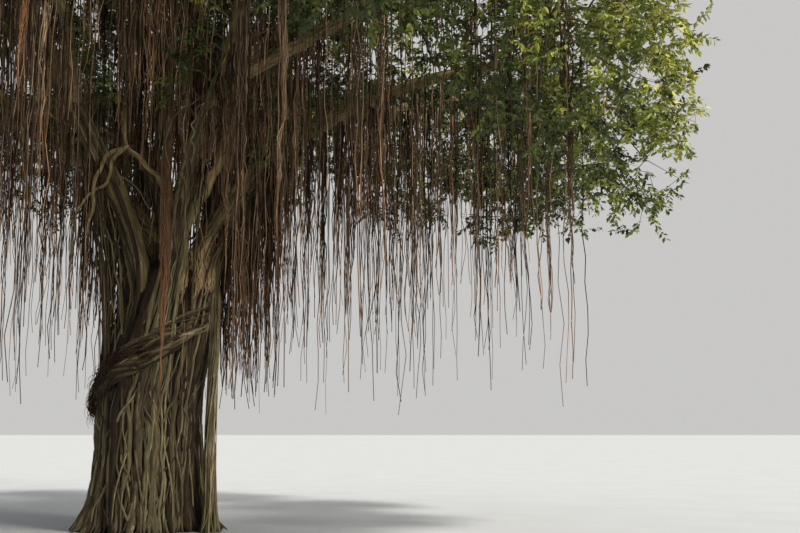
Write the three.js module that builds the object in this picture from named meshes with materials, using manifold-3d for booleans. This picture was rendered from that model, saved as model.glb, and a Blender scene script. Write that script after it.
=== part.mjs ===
// Banyan tree: a trunk of fused roots, boughs that climb and spread from it, curtains of roots that hang
// from the boughs, and masses of foliage at every tip.
// Millimetres, +Z up. The origin is on the flat cut at ground level, -Y is the front and +X the right.
import * as THREE from 'three';
import { mergeVertices } from 'three/addons/utils/BufferGeometryUtils.js';
import Module from 'manifold-3d';

const wasm = await Module();
wasm.setup();

// Driving sizes
const GAP = 0.5; // between two pieces that meet
const TRUNK = { height: 5350, halfWidth: 930, halfDepth: 860, foot: -190, neck: 0.18, lean: 500 };
const FLARE = { size: 0.3, height: 550 };
const FLUTES = { count: 15, depth: 0.12, samplesEach: 4, levels: 9 };
const RIM = { reach: 7600, height: 9100, lift: 1900, tipRadius: 75 }; // limb tips round the crown's edge
const TOP_RING = { reach: 3500, height: 10900, tipRadius: 70, foot: 0.52, footStep: 0.08 };
const LEAF = { length: 1550, width: 820, thickness: 44, sunk: 0.3, tries: 14, apart: 150 };
const GROWTH = { twigs: 7, tipRadius: 28, thicken: 0.4, detour: 0.15, leafShares: [0.4, 0.7, 1] };
const STEM = { shoulder: 320, taper: 0.8, reach: 0.8 };
const STRAND = { topRadius: 34, tipRadius: 14, sway: 90, clearance: 130 };
const RAIL_RADIUS = 70;

// Boughs that spring from the trunk. Headings are degrees from the right towards the back.
const BOUGHS = [
  { name: 'bough_east', heading: -5, foot: [560, -180, 4500], lift: 2300, radius: 270 },
  { name: 'bough_northeast', heading: 55, foot: [480, 330, 4550], lift: 2500, radius: 250 },
  { name: 'bough_north', heading: 118, foot: [60, 450, 4500], lift: 2500, radius: 250 },
  { name: 'bough_west', heading: 178, foot: [260, 60, 4700], lift: 1900, radius: 230 },
  { name: 'bough_southwest', heading: 235, foot: [-330, -300, 4350], lift: 3200, radius: 250 },
  { name: 'bough_southeast', heading: 300, foot: [330, -420, 4350], lift: 3100, radius: 240 },
];
const LEADER = {
  name: 'leader', foot: [700, 100, 4500], bend: [1500, 100, 8200], tip: [300, 0, 11300],
  radius: 260, tipRadius: 80,
};
const SIDE_LIMB = { turn: 30, foot: 0.42, radius: 135 }; // it turns towards the gap beside its bough
const TOP_LIMB = { count: 5, firstHeading: 50, radius: 120 };
const DETAIL = {
  leader: { steps: 9, sides: 6 },
  bough: { steps: 8, sides: 6 },
  limb: { steps: 5, sides: 5 },
};

const { Vector3 } = THREE;
const vector = (x, y, z) => new Vector3(x, y, z);
const { lerp, degToRad, smoothstep } = THREE.MathUtils;

// A repeatable stream of numbers from 0 to 1.
function stream(seed) {
  let state = seed >>> 0;
  return () => {
    state = (state + 0x6d2b79f5) >>> 0;
    let mixed = Math.imul(state ^ (state >>> 15), state | 1);
    mixed = (mixed + Math.imul(mixed ^ (mixed >>> 7), mixed | 61)) ^ mixed;
    return ((mixed ^ (mixed >>> 14)) >>> 0) / 4294967296;
  };
}

// Solids

// A closed geometry through rings of equal length. Its ends are fans round their first corner, or round
// their middle where the outline isn't convex.
function loft(rings, isFluted = false) {
  const sides = rings[0].length;
  const last = (rings.length - 1) * sides;
  const middle = (ring) => ring.reduce((sum, p) => sum.add(p), vector(0, 0, 0)).divideScalar(sides);
  const hubs = isFluted ? [middle(rings[0]), middle(rings.at(-1))] : [];
  const corners = [...rings.flat(), ...hubs];
  const [footHub, topHub] = isFluted ? [corners.length - 2, corners.length - 1] : [0, last];
  const faces = [];
  for (let side = 0; side < sides; side++) {
    const next = (side + 1) % sides;
    for (let row = 0; row < last; row += sides) {
      faces.push(row + side, row + next, row + sides + next);
      faces.push(row + side, row + sides + next, row + sides + side);
    }
    const isRim = isFluted || (side > 0 && next > 0);
    if (isRim) faces.push(footHub, next, side, topHub, last + side, last + next);
  }
  return new THREE.BufferGeometry().setFromPoints(corners).setIndex(faces);
}

// The ring of a tube at a point, square to its travel. Its first corner is the lowest.
function ringAt(centre, travel, side, radius, sides) {
  const across = side.clone().addScaledVector(travel, -side.dot(travel)).normalize();
  const above = travel.clone().cross(across);
  return Array.from({ length: sides }, (_, corner) => {
    const angle = (2 * Math.PI * corner) / sides;
    return centre.clone()
      .addScaledVector(across, radius * Math.sin(angle))
      .addScaledVector(above, -radius * Math.cos(angle));
  });
}

function travelAt(points, index) {
  const before = points[Math.max(index - 1, 0)];
  const after = points[Math.min(index + 1, points.length - 1)];
  return after.clone().sub(before).normalize();
}

function tube(points, radii, side, sides) {
  return loft(points.map((point, i) => ringAt(point, travelAt(points, i), side, radii[i], sides)));
}

function solidOf(geometry) {
  const bare = geometry.clone();
  bare.deleteAttribute('normal');
  bare.deleteAttribute('uv');
  const merged = mergeVertices(bare, 1e-3);
  return new wasm.Manifold(new wasm.Mesh({
    numProp: 3,
    vertProperties: new Float32Array(merged.attributes.position.array),
    triVerts: new Uint32Array(merged.index.array),
  }));
}

function largestPart(solid) {
  return solid.decompose().reduce((best, part) => (part.volume() > best.volume() ? part : best));
}

// Cuts a solid clear of its neighbours and drops any scrap.
function clearOf(solid, neighbours) {
  const touching = neighbours.filter((other) => solid.intersect(other).volume() > 0);
  return touching.length ? largestPart(solid.subtract(wasm.Manifold.union(touching))) : solid;
}

const group = new THREE.Group();

function addNode(name, solid, material) {
  const { vertProperties, triVerts } = solid.getMesh();
  const geometry = new THREE.BufferGeometry();
  geometry.setAttribute('position', new THREE.BufferAttribute(vertProperties, 3));
  geometry.setIndex(new THREE.BufferAttribute(triVerts, 1));
  geometry.computeVertexNormals();
  const mesh = new THREE.Mesh(geometry, material);
  mesh.name = name;
  group.add(mesh);
}

const bark = new THREE.MeshStandardMaterial({ color: 0x5c5140, roughness: 0.92, metalness: 0 });
const rootBark = new THREE.MeshStandardMaterial({ color: 0x5e4028, roughness: 0.95, metalness: 0 });
const foliage = new THREE.MeshStandardMaterial({ color: 0x4b6321, roughness: 0.55, metalness: 0 });

// Trunk: a column of fused roots, wide at the ground, narrower and leaning right at the fork.

function trunkCentre(z) {
  return vector(TRUNK.foot + TRUNK.lean * smoothstep(z, 2200, TRUNK.height), 0, z);
}

function trunkRadius(angle, z) {
  const flare = FLARE.size * Math.exp(-z / FLARE.height);
  const neck = TRUNK.neck * smoothstep(z, 3000, TRUNK.height);
  const crown = 0.55 * smoothstep(z, TRUNK.height - 500, TRUNK.height);
  const bulk = 0.05 * Math.sin(3 * angle + z / 2600 + 0.6) + 0.035 * Math.sin(5 * angle - z / 1900);
  const buttress = 1.6 * flare * (0.5 + 0.5 * Math.sin(4 * angle + 0.9)) - 0.4 * flare;
  const phase = 1.1 * Math.sin(2 * angle + 0.4) + 0.35 * Math.sin(z / 900 + angle);
  const strand = Math.sqrt(Math.abs(Math.sin((FLUTES.count / 2) * angle + phase)));
  const round = 1 / Math.hypot(Math.cos(angle) / TRUNK.halfWidth, Math.sin(angle) / TRUNK.halfDepth);
  return round * (1 + flare * 0.4 + buttress - neck - crown + bulk + FLUTES.depth * (strand - 0.6));
}

// Roots that gird the trunk: each crosses its front from high on the right to low on the left, half sunk in
// it. Angles are degrees from the right towards the back.
const GIRDLES = [
  { from: { angle: -42, z: 3680 }, to: { angle: -205, z: 2080 }, radius: 155 },
  { from: { angle: -30, z: 4200 }, to: { angle: -165, z: 2880 }, radius: 80 },
];

function girdleSolid({ from, to, radius }, clearance) {
  const steps = 7;
  const points = Array.from({ length: steps + 1 }, (_, step) => {
    const t = step / steps;
    const angle = degToRad(lerp(from.angle, to.angle, t));
    const z = lerp(from.z, to.z, t);
    const proud = lerp(-1.3, 0.15, Math.sqrt(Math.sin(Math.PI * t))) * radius;
    const reach = trunkRadius(angle, z) + proud;
    return trunkCentre(z).add(vector(reach * Math.cos(angle), reach * Math.sin(angle), 0));
  });
  const radii = points.map((_, step) => radius * (0.7 + 0.3 * Math.sin((Math.PI * step) / steps)) + clearance);
  return solidOf(tube(points, radii, vector(0, 0, 1), 6));
}

function trunkSolid(clearance) {
  const samples = FLUTES.count * FLUTES.samplesEach;
  const rings = Array.from({ length: FLUTES.levels + 1 }, (_, level) => {
    const share = level / FLUTES.levels;
    const z = TRUNK.height * (share + 0.1 * Math.sin(2 * Math.PI * share) * -0.6);
    const centre = trunkCentre(z);
    return Array.from({ length: samples }, (__, sample) => {
      const angle = (2 * Math.PI * sample) / samples;
      const reach = trunkRadius(angle, z) + clearance;
      const rise = level === FLUTES.levels ? clearance : 0;
      return vector(centre.x + reach * Math.cos(angle), centre.y + reach * Math.sin(angle), z + rise);
    });
  });
  const girdles = GIRDLES.map((girdle) => girdleSolid(girdle, clearance));
  return wasm.Manifold.union([solidOf(loft(rings, true)), ...girdles]);
}

// Limbs

function direction(degrees) {
  return vector(Math.cos(degToRad(degrees)), Math.sin(degToRad(degrees)), 0);
}

// A limb from its foot to its tip, through two points that pull its curve, with a seeded wander on the way.
function limbThrough(name, corners, radii, { steps, sides }, seed) {
  const [foot, , , tip] = corners;
  const curve = new THREE.CubicBezierCurve3(...corners);
  const along = tip.clone().sub(foot).setZ(0).normalize();
  const side = vector(-along.y, along.x, 0);
  const random = stream(seed);
  const phase = 2 * Math.PI * random();
  const wander = foot.distanceTo(tip) * 0.022;
  const points = Array.from({ length: steps + 1 }, (_, step) => {
    const t = step / steps;
    const fade = Math.sin(Math.PI * t);
    return curve.getPoint(t)
      .addScaledVector(side, wander * fade * Math.sin(9 * t + phase))
      .add(vector(0, 0, 0.7 * wander * fade * Math.cos(8 * t + phase)));
  });
  const thickness = points.map((_, step) => lerp(radii[0], radii[1], (step / steps) ** 0.7));
  return { name, points, radii: thickness, side, sides, heading: along };
}

function leaderFromTrunk({ name, foot, bend, tip, radius, tipRadius }) {
  const corners = [foot, bend, bend, tip].map((corner) => vector(...corner));
  corners[2].lerp(corners[3], 0.3);
  return limbThrough(name, corners, [radius, tipRadius], DETAIL.leader, 9);
}

function boughFromTrunk({ name, heading, foot, lift, radius }, index) {
  const start = vector(...foot);
  const tip = direction(heading).multiplyScalar(RIM.reach).setZ(rimHeight(heading));
  const pull = (share) => start.clone().lerp(tip, share).add(vector(0, 0, lift));
  const corners = [start, pull(0.12), pull(0.5), tip];
  return limbThrough(name, corners, [radius, RIM.tipRadius], DETAIL.bough, 11 + index);
}

function sideLimb(bough, heading, index) {
  const start = bough.points[Math.round(SIDE_LIMB.foot * (bough.points.length - 1))].clone();
  const tip = direction(heading).multiplyScalar(RIM.reach).setZ(rimHeight(heading));
  const pull = (share, lift) => start.clone().lerp(tip, share).add(vector(0, 0, lift));
  const name = bough.name.replace('bough', 'side_limb');
  const corners = [start, pull(0.3, 500), pull(0.65, 700), tip];
  return limbThrough(name, corners, [SIDE_LIMB.radius, RIM.tipRadius], DETAIL.limb, 31 + index);
}

function topLimb(leader, index) {
  const heading = TOP_LIMB.firstHeading + (360 / TOP_LIMB.count) * index;
  const share = TOP_RING.foot + TOP_RING.footStep * index;
  const start = leader.points[Math.round(share * (leader.points.length - 1))].clone();
  const tip = direction(heading).multiplyScalar(TOP_RING.reach).setZ(TOP_RING.height);
  const pull = (part, lift) => start.clone().lerp(tip, part).add(vector(0, 0, lift));
  const corners = [start, pull(0.3, 350), pull(0.7, 500), tip];
  const radii = [TOP_LIMB.radius, TOP_RING.tipRadius];
  return limbThrough(`top_limb_${index + 1}`, corners, radii, DETAIL.limb, 51 + index);
}

// Tips stand lowest to the right and left, and higher at the front and back.
function rimHeight(heading) {
  return RIM.height + RIM.lift * Math.sin(degToRad(heading)) ** 2;
}

function limbSolid(limb, clearance) {
  const radii = limb.radii.map((radius) => radius + clearance);
  return solidOf(tube(limb.points, radii, limb.side, limb.sides));
}

const boughs = BOUGHS.map(boughFromTrunk);
const leader = leaderFromTrunk(LEADER);
const sideLimbs = boughs.map((bough, i) => sideLimb(bough, BOUGHS[i].heading + SIDE_LIMB.turn, i));
const topLimbs = Array.from({ length: TOP_LIMB.count }, (_, i) => topLimb(leader, i));
const limbs = [leader, ...boughs, ...sideLimbs, ...topLimbs];

addNode('trunk', trunkSolid(0), bark);
const standing = [trunkSolid(GAP)];
for (const limb of limbs) {
  addNode(limb.name, clearOf(limbSolid(limb, 0), standing), bark);
  standing.push(limbSolid(limb, GAP));
}

// What foliage and hanging roots keep clear of: round-ended pieces, each from one point to the next.
const obstacles = [];
const segment = new THREE.Line3();
const nearest = new Vector3();

function addObstacles(points, radii, owner) {
  for (let i = 1; i < points.length; i++) {
    const radius = Math.max(radii[i - 1], radii[i]);
    obstacles.push({ from: points[i - 1], to: points[i], radius, owner });
  }
}

function isFree(point, margin, owner) {
  return obstacles.every((piece) => {
    if (piece.owner === owner) return true;
    segment.set(piece.from, piece.to).closestPointToPoint(point, true, nearest);
    return nearest.distanceTo(point) > piece.radius + margin;
  });
}

for (const limb of limbs) addObstacles(limb.points, limb.radii, limb.name);
const trunkLine = [0, 0.3, 0.6, 0.9].map((share) => trunkCentre(share * TRUNK.height));
addObstacles(trunkLine, [1250, 1150, 1080, 800], 'trunk');

// Pillar root: a hanging root that reached the ground beside the trunk and thickened. It comes down from the
// underside of the east bough.

const PILLAR = { name: 'pillar_root', foot: [1130, -430], top: [1090, -330, 5800], radius: 125 };

function pillarRoot({ name, foot, top, radius }) {
  const steps = 8;
  const points = Array.from({ length: steps + 1 }, (_, step) => {
    const t = step / steps;
    const sway = 35 * Math.sin(5 * t + foot[1]) * Math.sin(Math.PI * t);
    return vector(lerp(foot[0], top[0], t) + sway, lerp(foot[1], top[1], t), t * top[2]);
  });
  const radii = points.map((point, i) => radius * (1 - 0.35 * (i / steps)) + 90 * Math.exp(-point.z / 350));
  const rings = points.map((point, i) => ringAt(point, vector(0, 0, 1), vector(1, 0, 0), radii[i], 10));
  addObstacles(points, radii, name);
  return solidOf(loft(rings));
}

addNode(PILLAR.name, clearOf(pillarRoot(PILLAR), standing), bark);

// Curtains: roots that hang from a rail of root bases along the underside of a limb.

const CURTAIN_LOW = 2300; // the lowest that a hanging root reaches
const CURTAINS = {
  inner: { first: 2, last: 4, roots: 6 },
  outer: { first: 5, last: 7, roots: 5 },
  top: { first: 1, last: 4, roots: 7 },
  beyondTassel: { first: 3, last: 5, roots: 6 },
};

function hangingRoot(top, random, owner) {
  const drop = lerp(0.45, 1, random()) * (top.z - CURTAIN_LOW);
  const phase = 2 * Math.PI * random();
  const sway = vector(Math.cos(phase), Math.sin(phase), 0).multiplyScalar(STRAND.sway);
  const at = (share) => top.clone().addScaledVector(sway, share).add(vector(0, 0, -drop * share));
  let reach = 0;
  for (let share = 0.05; share <= 1; share += 0.05) {
    if (!isFree(at(share), STRAND.clearance, share < 0.15 ? owner : '')) break;
    reach = share;
  }
  if (reach * drop < 700) return null;
  const points = [top, at(reach)];
  const radii = [STRAND.topRadius, STRAND.tipRadius];
  addObstacles(points, radii, 'roots');
  return solidOf(tube(points, radii, vector(1, 0, 0), 3));
}

function curtain(limb, { first, last, roots }, seed) {
  const random = stream(seed);
  const rail = limb.points.slice(first, last + 1).map((point, i) => {
    const travel = travelAt(limb.points, first + i);
    const across = limb.side.clone().addScaledVector(travel, -limb.side.dot(travel)).normalize();
    const below = across.cross(travel);
    return point.clone().addScaledVector(below, limb.radii[first + i] + RAIL_RADIUS + GAP);
  });
  const side = limb.side;
  const rings = rail.map((point, i) => ringAt(point, travelAt(limb.points, first + i), side, -RAIL_RADIUS, 3));
  const pieces = [solidOf(loft(rings))];
  for (let i = 0; i < roots; i++) {
    const place = ((i + 0.2 + 0.6 * random()) / roots) * (rail.length - 1);
    const start = Math.floor(place);
    const top = rail[start].clone().lerp(rail[start + 1], place - start);
    const root = hangingRoot(top, random, limb.name);
    if (root) pieces.push(root);
  }
  return wasm.Manifold.union(pieces);
}

// Tassel: one thick bundle of young roots that hangs before the trunk from a top limb.

const TASSEL = { name: 'front_tassel', limb: 3, step: 2, low: 2750, radii: [60, 92, 100, 78, 12] };

function tassel({ name, limb, step, low, radii }) {
  const { points, radii: limbRadii } = topLimbs[limb];
  const top = points[step].clone().add(vector(0, 0, -limbRadii[step] - GAP));
  const last = radii.length - 1;
  const line = radii.map((_, i) => top.clone().setZ(lerp(top.z, low, i / last)));
  addObstacles(line, radii, name);
  return solidOf(loft(line.map((point, i) => ringAt(point, vector(0, 0, -1), vector(1, 0, 0), radii[i], 6))));
}

addNode(TASSEL.name, clearOf(tassel(TASSEL), standing), rootBark);
for (const [i, bough] of boughs.entries()) {
  addNode(bough.name.replace('bough', 'inner_curtain'), curtain(bough, CURTAINS.inner, 71 + i), rootBark);
  addNode(bough.name.replace('bough', 'outer_curtain'), curtain(bough, CURTAINS.outer, 81 + i), rootBark);
}
for (const [i, limb] of topLimbs.entries()) {
  const place = i === TASSEL.limb ? CURTAINS.beyondTassel : CURTAINS.top;
  addNode(limb.name.replace('limb', 'curtain'), curtain(limb, place, 91 + i), rootBark);
}

// Foliage

function tipOf(limb) {
  const last = limb.points.length - 1;
  return { point: limb.points[last], travel: travelAt(limb.points, last), radius: limb.radii[last] };
}

function massAt(limb, name, centre, radii) {
  return { name, limb, centre, radii };
}

function rimMass(limb) {
  const tip = tipOf(limb).point;
  const out = tip.clone().setZ(0).normalize();
  const high = (tip.z - RIM.height) / RIM.lift;
  const centre = out.multiplyScalar(RIM.reach + 750).setZ(lerp(7900, 10000, high));
  const name = limb.name.replace(/bough|side_limb/, (word) => (word === 'bough' ? 'foliage' : 'side_foliage'));
  return massAt(limb, name, centre, vector(2550, 2550, lerp(2700, 2250, high)));
}

function topMass(limb) {
  const out = tipOf(limb).point.clone().setZ(0).normalize();
  const centre = out.multiplyScalar(TOP_RING.reach + 900).setZ(11400);
  return massAt(limb, limb.name.replace('limb', 'foliage'), centre, vector(3000, 3000, 2150));
}

const masses = [
  massAt(leader, 'crown_foliage', vector(300, 0, 12100), vector(2900, 2900, 1950)),
  ...[...boughs, ...sideLimbs].map(rimMass),
  ...topLimbs.map(topMass),
];

// Whether a point lies in a mass's own space: inside its ellipsoid and on its side of every neighbour.
function isInside(mass, point, margin) {
  if (point.clone().sub(mass.centre).divide(mass.radii).length() > 1) return false;
  return masses.every((other) => {
    if (other === mass) return true;
    const middle = mass.centre.clone().lerp(other.centre, 0.5);
    const towards = other.centre.clone().sub(mass.centre).normalize();
    return point.clone().sub(middle).dot(towards) < -margin;
  });
}

function isRoom(mass, points, margin) {
  return points.every((point) => isInside(mass, point, margin) && isFree(point, margin + 90, mass.name));
}

// Points spread evenly round a mass, some way in from its outside.
function twigTargets(mass, count, random) {
  const turn = Math.PI * (3 - Math.sqrt(5));
  return Array.from({ length: count }, (_, i) => {
    const height = 1 - (2 * (i + 0.5)) / count;
    const round = Math.sqrt(1 - height * height);
    const depth = lerp(0.42, 0.66, random());
    const angle = turn * i + 0.5 * random();
    const away = vector(round * Math.cos(angle), round * Math.sin(angle), height).multiplyScalar(depth);
    return away.multiply(mass.radii).add(mass.centre);
  });
}

// Twigs that branch from the heart of a mass: each target joins the grown point that is nearest, counting
// some of the way from there back to the heart.
function growTwigs(mass, targets, heart) {
  const joints = [{ point: heart, parent: -1, load: 0, length: 0 }];
  const waiting = targets.slice().sort((a, b) => a.distanceTo(heart) - b.distanceTo(heart));
  for (const point of waiting) {
    const cost = (joint) => joint.point.distanceTo(point) + GROWTH.detour * joint.length;
    const parent = joints.reduce((best, joint, i) => (cost(joint) < cost(joints[best]) ? i : best), 0);
    const from = joints[parent];
    const way = [0.25, 0.5, 0.75, 1].map((share) => from.point.clone().lerp(point, share));
    const length = from.length + from.point.distanceTo(point);
    if (isRoom(mass, parent ? way : way.slice(1), 20)) joints.push({ point, parent, load: 0, length });
  }
  for (const start of joints) {
    for (let joint = start; joint.parent >= 0; joint = joints[joint.parent]) joints[joint.parent].load++;
  }
  return joints;
}

const twigRadius = (joint) => GROWTH.tipRadius * (1 + joint.load) ** GROWTH.thicken;

function anySide(travel) {
  return Math.abs(travel.z) < 0.9 ? vector(0, 0, 1).cross(travel).normalize() : vector(1, 0, 0);
}

// The corners of a grid over a flat leaf, in halves of its length and width, from its root to its tip.
const LEAF_GRID = [-1, -0.67, -0.33, 0, 0.33, 0.67, 1].flatMap((along) => (
  [-1, -0.5, 0, 0.5, 1].map((across) => vector(along, across * (1 - Math.abs(along)), 0))
));
const LEAF_FOOT = 10; // the first corners of the grid, which lie at the twig

// Whether a leaf keeps off the twigs and the leaves that its own mass has grown so far.
function isUncrossed(grown, grid) {
  return grid.slice(LEAF_FOOT).every((corner) => (
    grown.leafPoints.every((point) => point.distanceTo(corner) > LEAF.apart)
    && grown.twigs.every(({ from, to, radius }) => {
      segment.set(from, to).closestPointToPoint(corner, true, nearest);
      return nearest.distanceTo(corner) > radius + LEAF.apart / 2;
    })
  ));
}

// A leaf as a kite with a ridge: its root, right corner, tip, left corner and the top of its ridge.
const LEAF_CORNERS = [vector(-1, 0, 0), vector(0, -1, 0), vector(1, 0, 0), vector(0, 1, 0), vector(0, 0, 1)];
const LEAF_FACES = [0, 1, 4, 1, 2, 4, 2, 3, 4, 3, 0, 4, 0, 3, 1, 2, 1, 3];

function bladeSolid(place) {
  const corners = LEAF_CORNERS.map((corner) => corner.clone().applyMatrix4(place));
  return solidOf(new THREE.BufferGeometry().setFromPoints(corners).setIndex(LEAF_FACES));
}

// A spray of leaves as one blade: headings are drawn until one has room.
function spray(mass, grown, root, twigSize, away, random) {
  for (let attempt = 0; attempt < LEAF.tries; attempt++) {
    const stray = vector(random() - 0.5, random() - 0.5, random() - 0.6).multiplyScalar(1 + 0.25 * attempt);
    const heading = away.clone().add(stray).normalize();
    const across = anySide(heading).applyAxisAngle(heading, (random() - 0.5) * 1.8);
    const size = lerp(0.75, 1.1, random());
    const half = vector(LEAF.length / 2, LEAF.width / 2, LEAF.thickness).multiplyScalar(size);
    const middle = root.clone().addScaledVector(heading, half.x - LEAF.sunk * twigSize);
    const place = new THREE.Matrix4().makeBasis(heading, across, heading.clone().cross(across));
    place.scale(half).setPosition(middle);
    const grid = LEAF_GRID.map((corner) => corner.clone().applyMatrix4(place));
    if (isRoom(mass, grid, 25) && isUncrossed(grown, grid)) {
      grown.leafPoints.push(...grid.slice(LEAF_FOOT));
      return bladeSolid(place);
    }
  }
  return null;
}

// Runs of twig: each passes on through the child that carries most, and its other children start new runs.
function twigRuns(joints) {
  const heirs = joints.map((_, i) => {
    const children = joints.filter((joint) => joint.parent === i);
    return children.reduce((best, child) => (best && best.load >= child.load ? best : child), null);
  });
  const isStart = (joint) => joint.parent < 0 || heirs[joint.parent] !== joint;
  return joints.filter(isStart).map((start) => {
    const run = start.parent < 0 ? [start] : [joints[start.parent], start];
    for (let next = heirs[joints.indexOf(start)]; next; next = heirs[joints.indexOf(next)]) run.push(next);
    return run;
  });
}

// The stem of a mass starts clear of its limb's tip, and its first run of twig goes on from there.
function runSolid(mass, run, isStem) {
  const tip = tipOf(mass.limb);
  const start = tip.point.clone().addScaledVector(tip.travel, GAP);
  const shoulder = start.clone().addScaledVector(tip.travel, STEM.shoulder);
  const points = [...(isStem ? [start, shoulder] : []), ...run.map((joint) => joint.point)];
  const own = run.map((joint, i) => twigRadius(i ? joint : run[1] ?? joint));
  const radii = [...(isStem ? [tip.radius, STEM.taper * tip.radius] : []), ...own];
  const side = isStem ? mass.limb.side : anySide(travelAt(points, 0));
  const rings = points.map((point, i) => {
    const travel = isStem && i === 0 ? tip.travel : travelAt(points, i);
    return ringAt(point, travel, side, radii[i], isStem ? 4 : 3);
  });
  return solidOf(loft(rings));
}

function massSolid(mass, index) {
  const random = stream(101 + index);
  const tip = tipOf(mass.limb);
  const shoulder = tip.point.clone().addScaledVector(tip.travel, STEM.shoulder);
  const heart = shoulder.lerp(mass.centre, STEM.reach);
  const joints = growTwigs(mass, twigTargets(mass, GROWTH.twigs, random), heart);
  const pieces = twigRuns(joints).map((run, i) => runSolid(mass, run, i === 0));
  const twigs = joints.slice(1).map((joint) => (
    { from: joints[joint.parent].point, to: joint.point, radius: twigRadius(joint) }
  ));
  const grown = { twigs, leafPoints: [] };
  for (const { from, to, radius } of twigs) {
    for (const share of GROWTH.leafShares) {
      const root = from.clone().lerp(to, share);
      const away = root.clone().sub(mass.centre).normalize();
      const blade = spray(mass, grown, root, radius, away, random);
      if (blade) pieces.push(blade);
    }
  }
  return largestPart(wasm.Manifold.union(pieces));
}

for (const [i, mass] of masses.entries()) addNode(mass.name, massSolid(mass, i), foliage);

export default group;
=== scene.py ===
"""Banyan tree: the visual model, grown over the frame's limbs and masses.

Metres, +Z up. The limbs, the trunk and the masses repeat the part's own rules, so that every fine piece
starts where its solid is. Lines are arrays of lines x rings x 3, and t and s run from 0 at a line's start to
1 at its end.
"""

import math

import bpy
import numpy as np
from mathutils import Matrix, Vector


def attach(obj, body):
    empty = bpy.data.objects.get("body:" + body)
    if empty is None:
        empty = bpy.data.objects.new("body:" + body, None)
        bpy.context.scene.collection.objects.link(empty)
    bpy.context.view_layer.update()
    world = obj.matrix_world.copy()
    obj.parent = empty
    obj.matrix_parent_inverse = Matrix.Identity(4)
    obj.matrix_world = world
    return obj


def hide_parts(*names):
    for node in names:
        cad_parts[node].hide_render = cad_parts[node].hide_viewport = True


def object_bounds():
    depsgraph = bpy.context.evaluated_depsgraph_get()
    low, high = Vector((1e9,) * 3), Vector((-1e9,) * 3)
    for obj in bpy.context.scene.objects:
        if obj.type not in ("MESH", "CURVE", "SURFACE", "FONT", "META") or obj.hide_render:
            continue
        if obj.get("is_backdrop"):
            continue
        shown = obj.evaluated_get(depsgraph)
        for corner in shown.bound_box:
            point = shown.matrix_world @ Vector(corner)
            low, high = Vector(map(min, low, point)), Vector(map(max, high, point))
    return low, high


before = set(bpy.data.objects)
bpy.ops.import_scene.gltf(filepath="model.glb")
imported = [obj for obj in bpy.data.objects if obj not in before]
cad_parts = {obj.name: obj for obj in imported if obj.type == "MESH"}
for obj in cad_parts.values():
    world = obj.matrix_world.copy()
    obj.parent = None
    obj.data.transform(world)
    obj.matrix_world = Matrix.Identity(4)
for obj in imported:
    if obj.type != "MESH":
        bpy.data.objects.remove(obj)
CAD_LOW, CAD_HIGH = (np.array(corner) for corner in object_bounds())

# Driving sizes, as in the part
TRUNK = {"height": 5.35, "half_width": 0.93, "half_depth": 0.86, "foot": -0.19, "neck": 0.18, "lean": 0.5}
FLARE = {"size": 0.3, "height": 0.55}
FLUTES = {"count": 15, "depth": 0.12}
RIM = {"reach": 7.6, "height": 9.1, "lift": 1.9, "tip_radius": 0.075}
TOP_RING = {"reach": 3.5, "height": 10.9, "tip_radius": 0.07, "foot": 0.52, "foot_step": 0.08}
STEM_SHOULDER = 0.32
STEM_REACH = 0.8
BOUGH_STEPS = 8
LEADER_STEPS = 9
LIMB_STEPS = 5
# Each bough's heading in degrees from +X, its foot, how far its curve is lifted, and its radius at the foot
BOUGHS = {
    "bough_east": (-5, (0.56, -0.18, 4.5), 2.3, 0.27),
    "bough_northeast": (55, (0.48, 0.33, 4.55), 2.5, 0.25),
    "bough_north": (118, (0.06, 0.45, 4.5), 2.5, 0.25),
    "bough_west": (178, (0.26, 0.06, 4.7), 1.9, 0.23),
    "bough_southwest": (235, (-0.33, -0.3, 4.35), 3.2, 0.25),
    "bough_southeast": (300, (0.33, -0.42, 4.35), 3.1, 0.24),
}
LEADER = {"foot": (0.7, 0.1, 4.5), "bend": (1.5, 0.1, 8.2), "tip": (0.3, 0, 11.3), "radii": (0.26, 0.08)}
SIDE_LIMB = {"turn": 30, "foot": 0.42, "radius": 0.135}
TOP_LIMB = {"count": 5, "first_heading": 50, "radius": 0.12}
# Masses of foliage. The rim's are centred at the first height and flatter as their limbs rise to the second
RIM_MASS = {"beyond": 0.75, "heights": (7.9, 10.0), "radius": 2.55, "half_heights": (2.7, 2.25)}
TOP_MASS = {"beyond": 0.9, "height": 11.4, "radii": (3.0, 3.0, 2.15)}
CROWN_MASS = {"centre": (0.3, 0, 12.1), "radii": (2.9, 2.9, 1.95)}
GIRDLES = [
    {"start": (-42, 3.68), "end": (-205, 2.08), "radius": 0.155},
    {"start": (-30, 4.2), "end": (-165, 2.88), "radius": 0.08},
]
PILLAR = {"foot": (1.13, -0.43), "top": (1.09, -0.33, 5.5), "radius": 0.125}
TASSEL = {"limb": 3, "step": 2, "low": 2.75, "radius": 0.105}

# Fine growth, which only the visual model has
TWIGS = {"main": 7, "fine": 430, "tip_radius": 0.0032, "thicken": 0.46, "detour": 0.15, "thick": 0.012}
TWIGLETS = {"each": 2, "length": 0.36, "radius": 0.0028}
# The least height of fine twigs, give or take
UNDERSIDE = {"height": 6.4, "ragged": 0.6}
LEAF = {"length": 0.112, "half_width": 0.034, "each": 12}
# The least height of hanging roots, and how far beyond the rim's tips they still hang
ROOT_LOW = 2.3
ROOTS_BEYOND = 1.1
CAMERA_PLACE = (4.7, -21.6, 1.9)
# What the camera sees of the fork, in metres across it: most roots that hang before it end above it. They
# are farther forward than "front", and "kept" is the share that still hangs down
FORK_VIEW = {"left": -1.35, "right": 1.4, "front": -0.35, "low": 6.5, "ragged": 2.4, "kept": 0.06}

UP = np.array([0.0, 0.0, 1.0])
SIDEWAYS = np.array([1.0, 0.0, 0.0])
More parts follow.
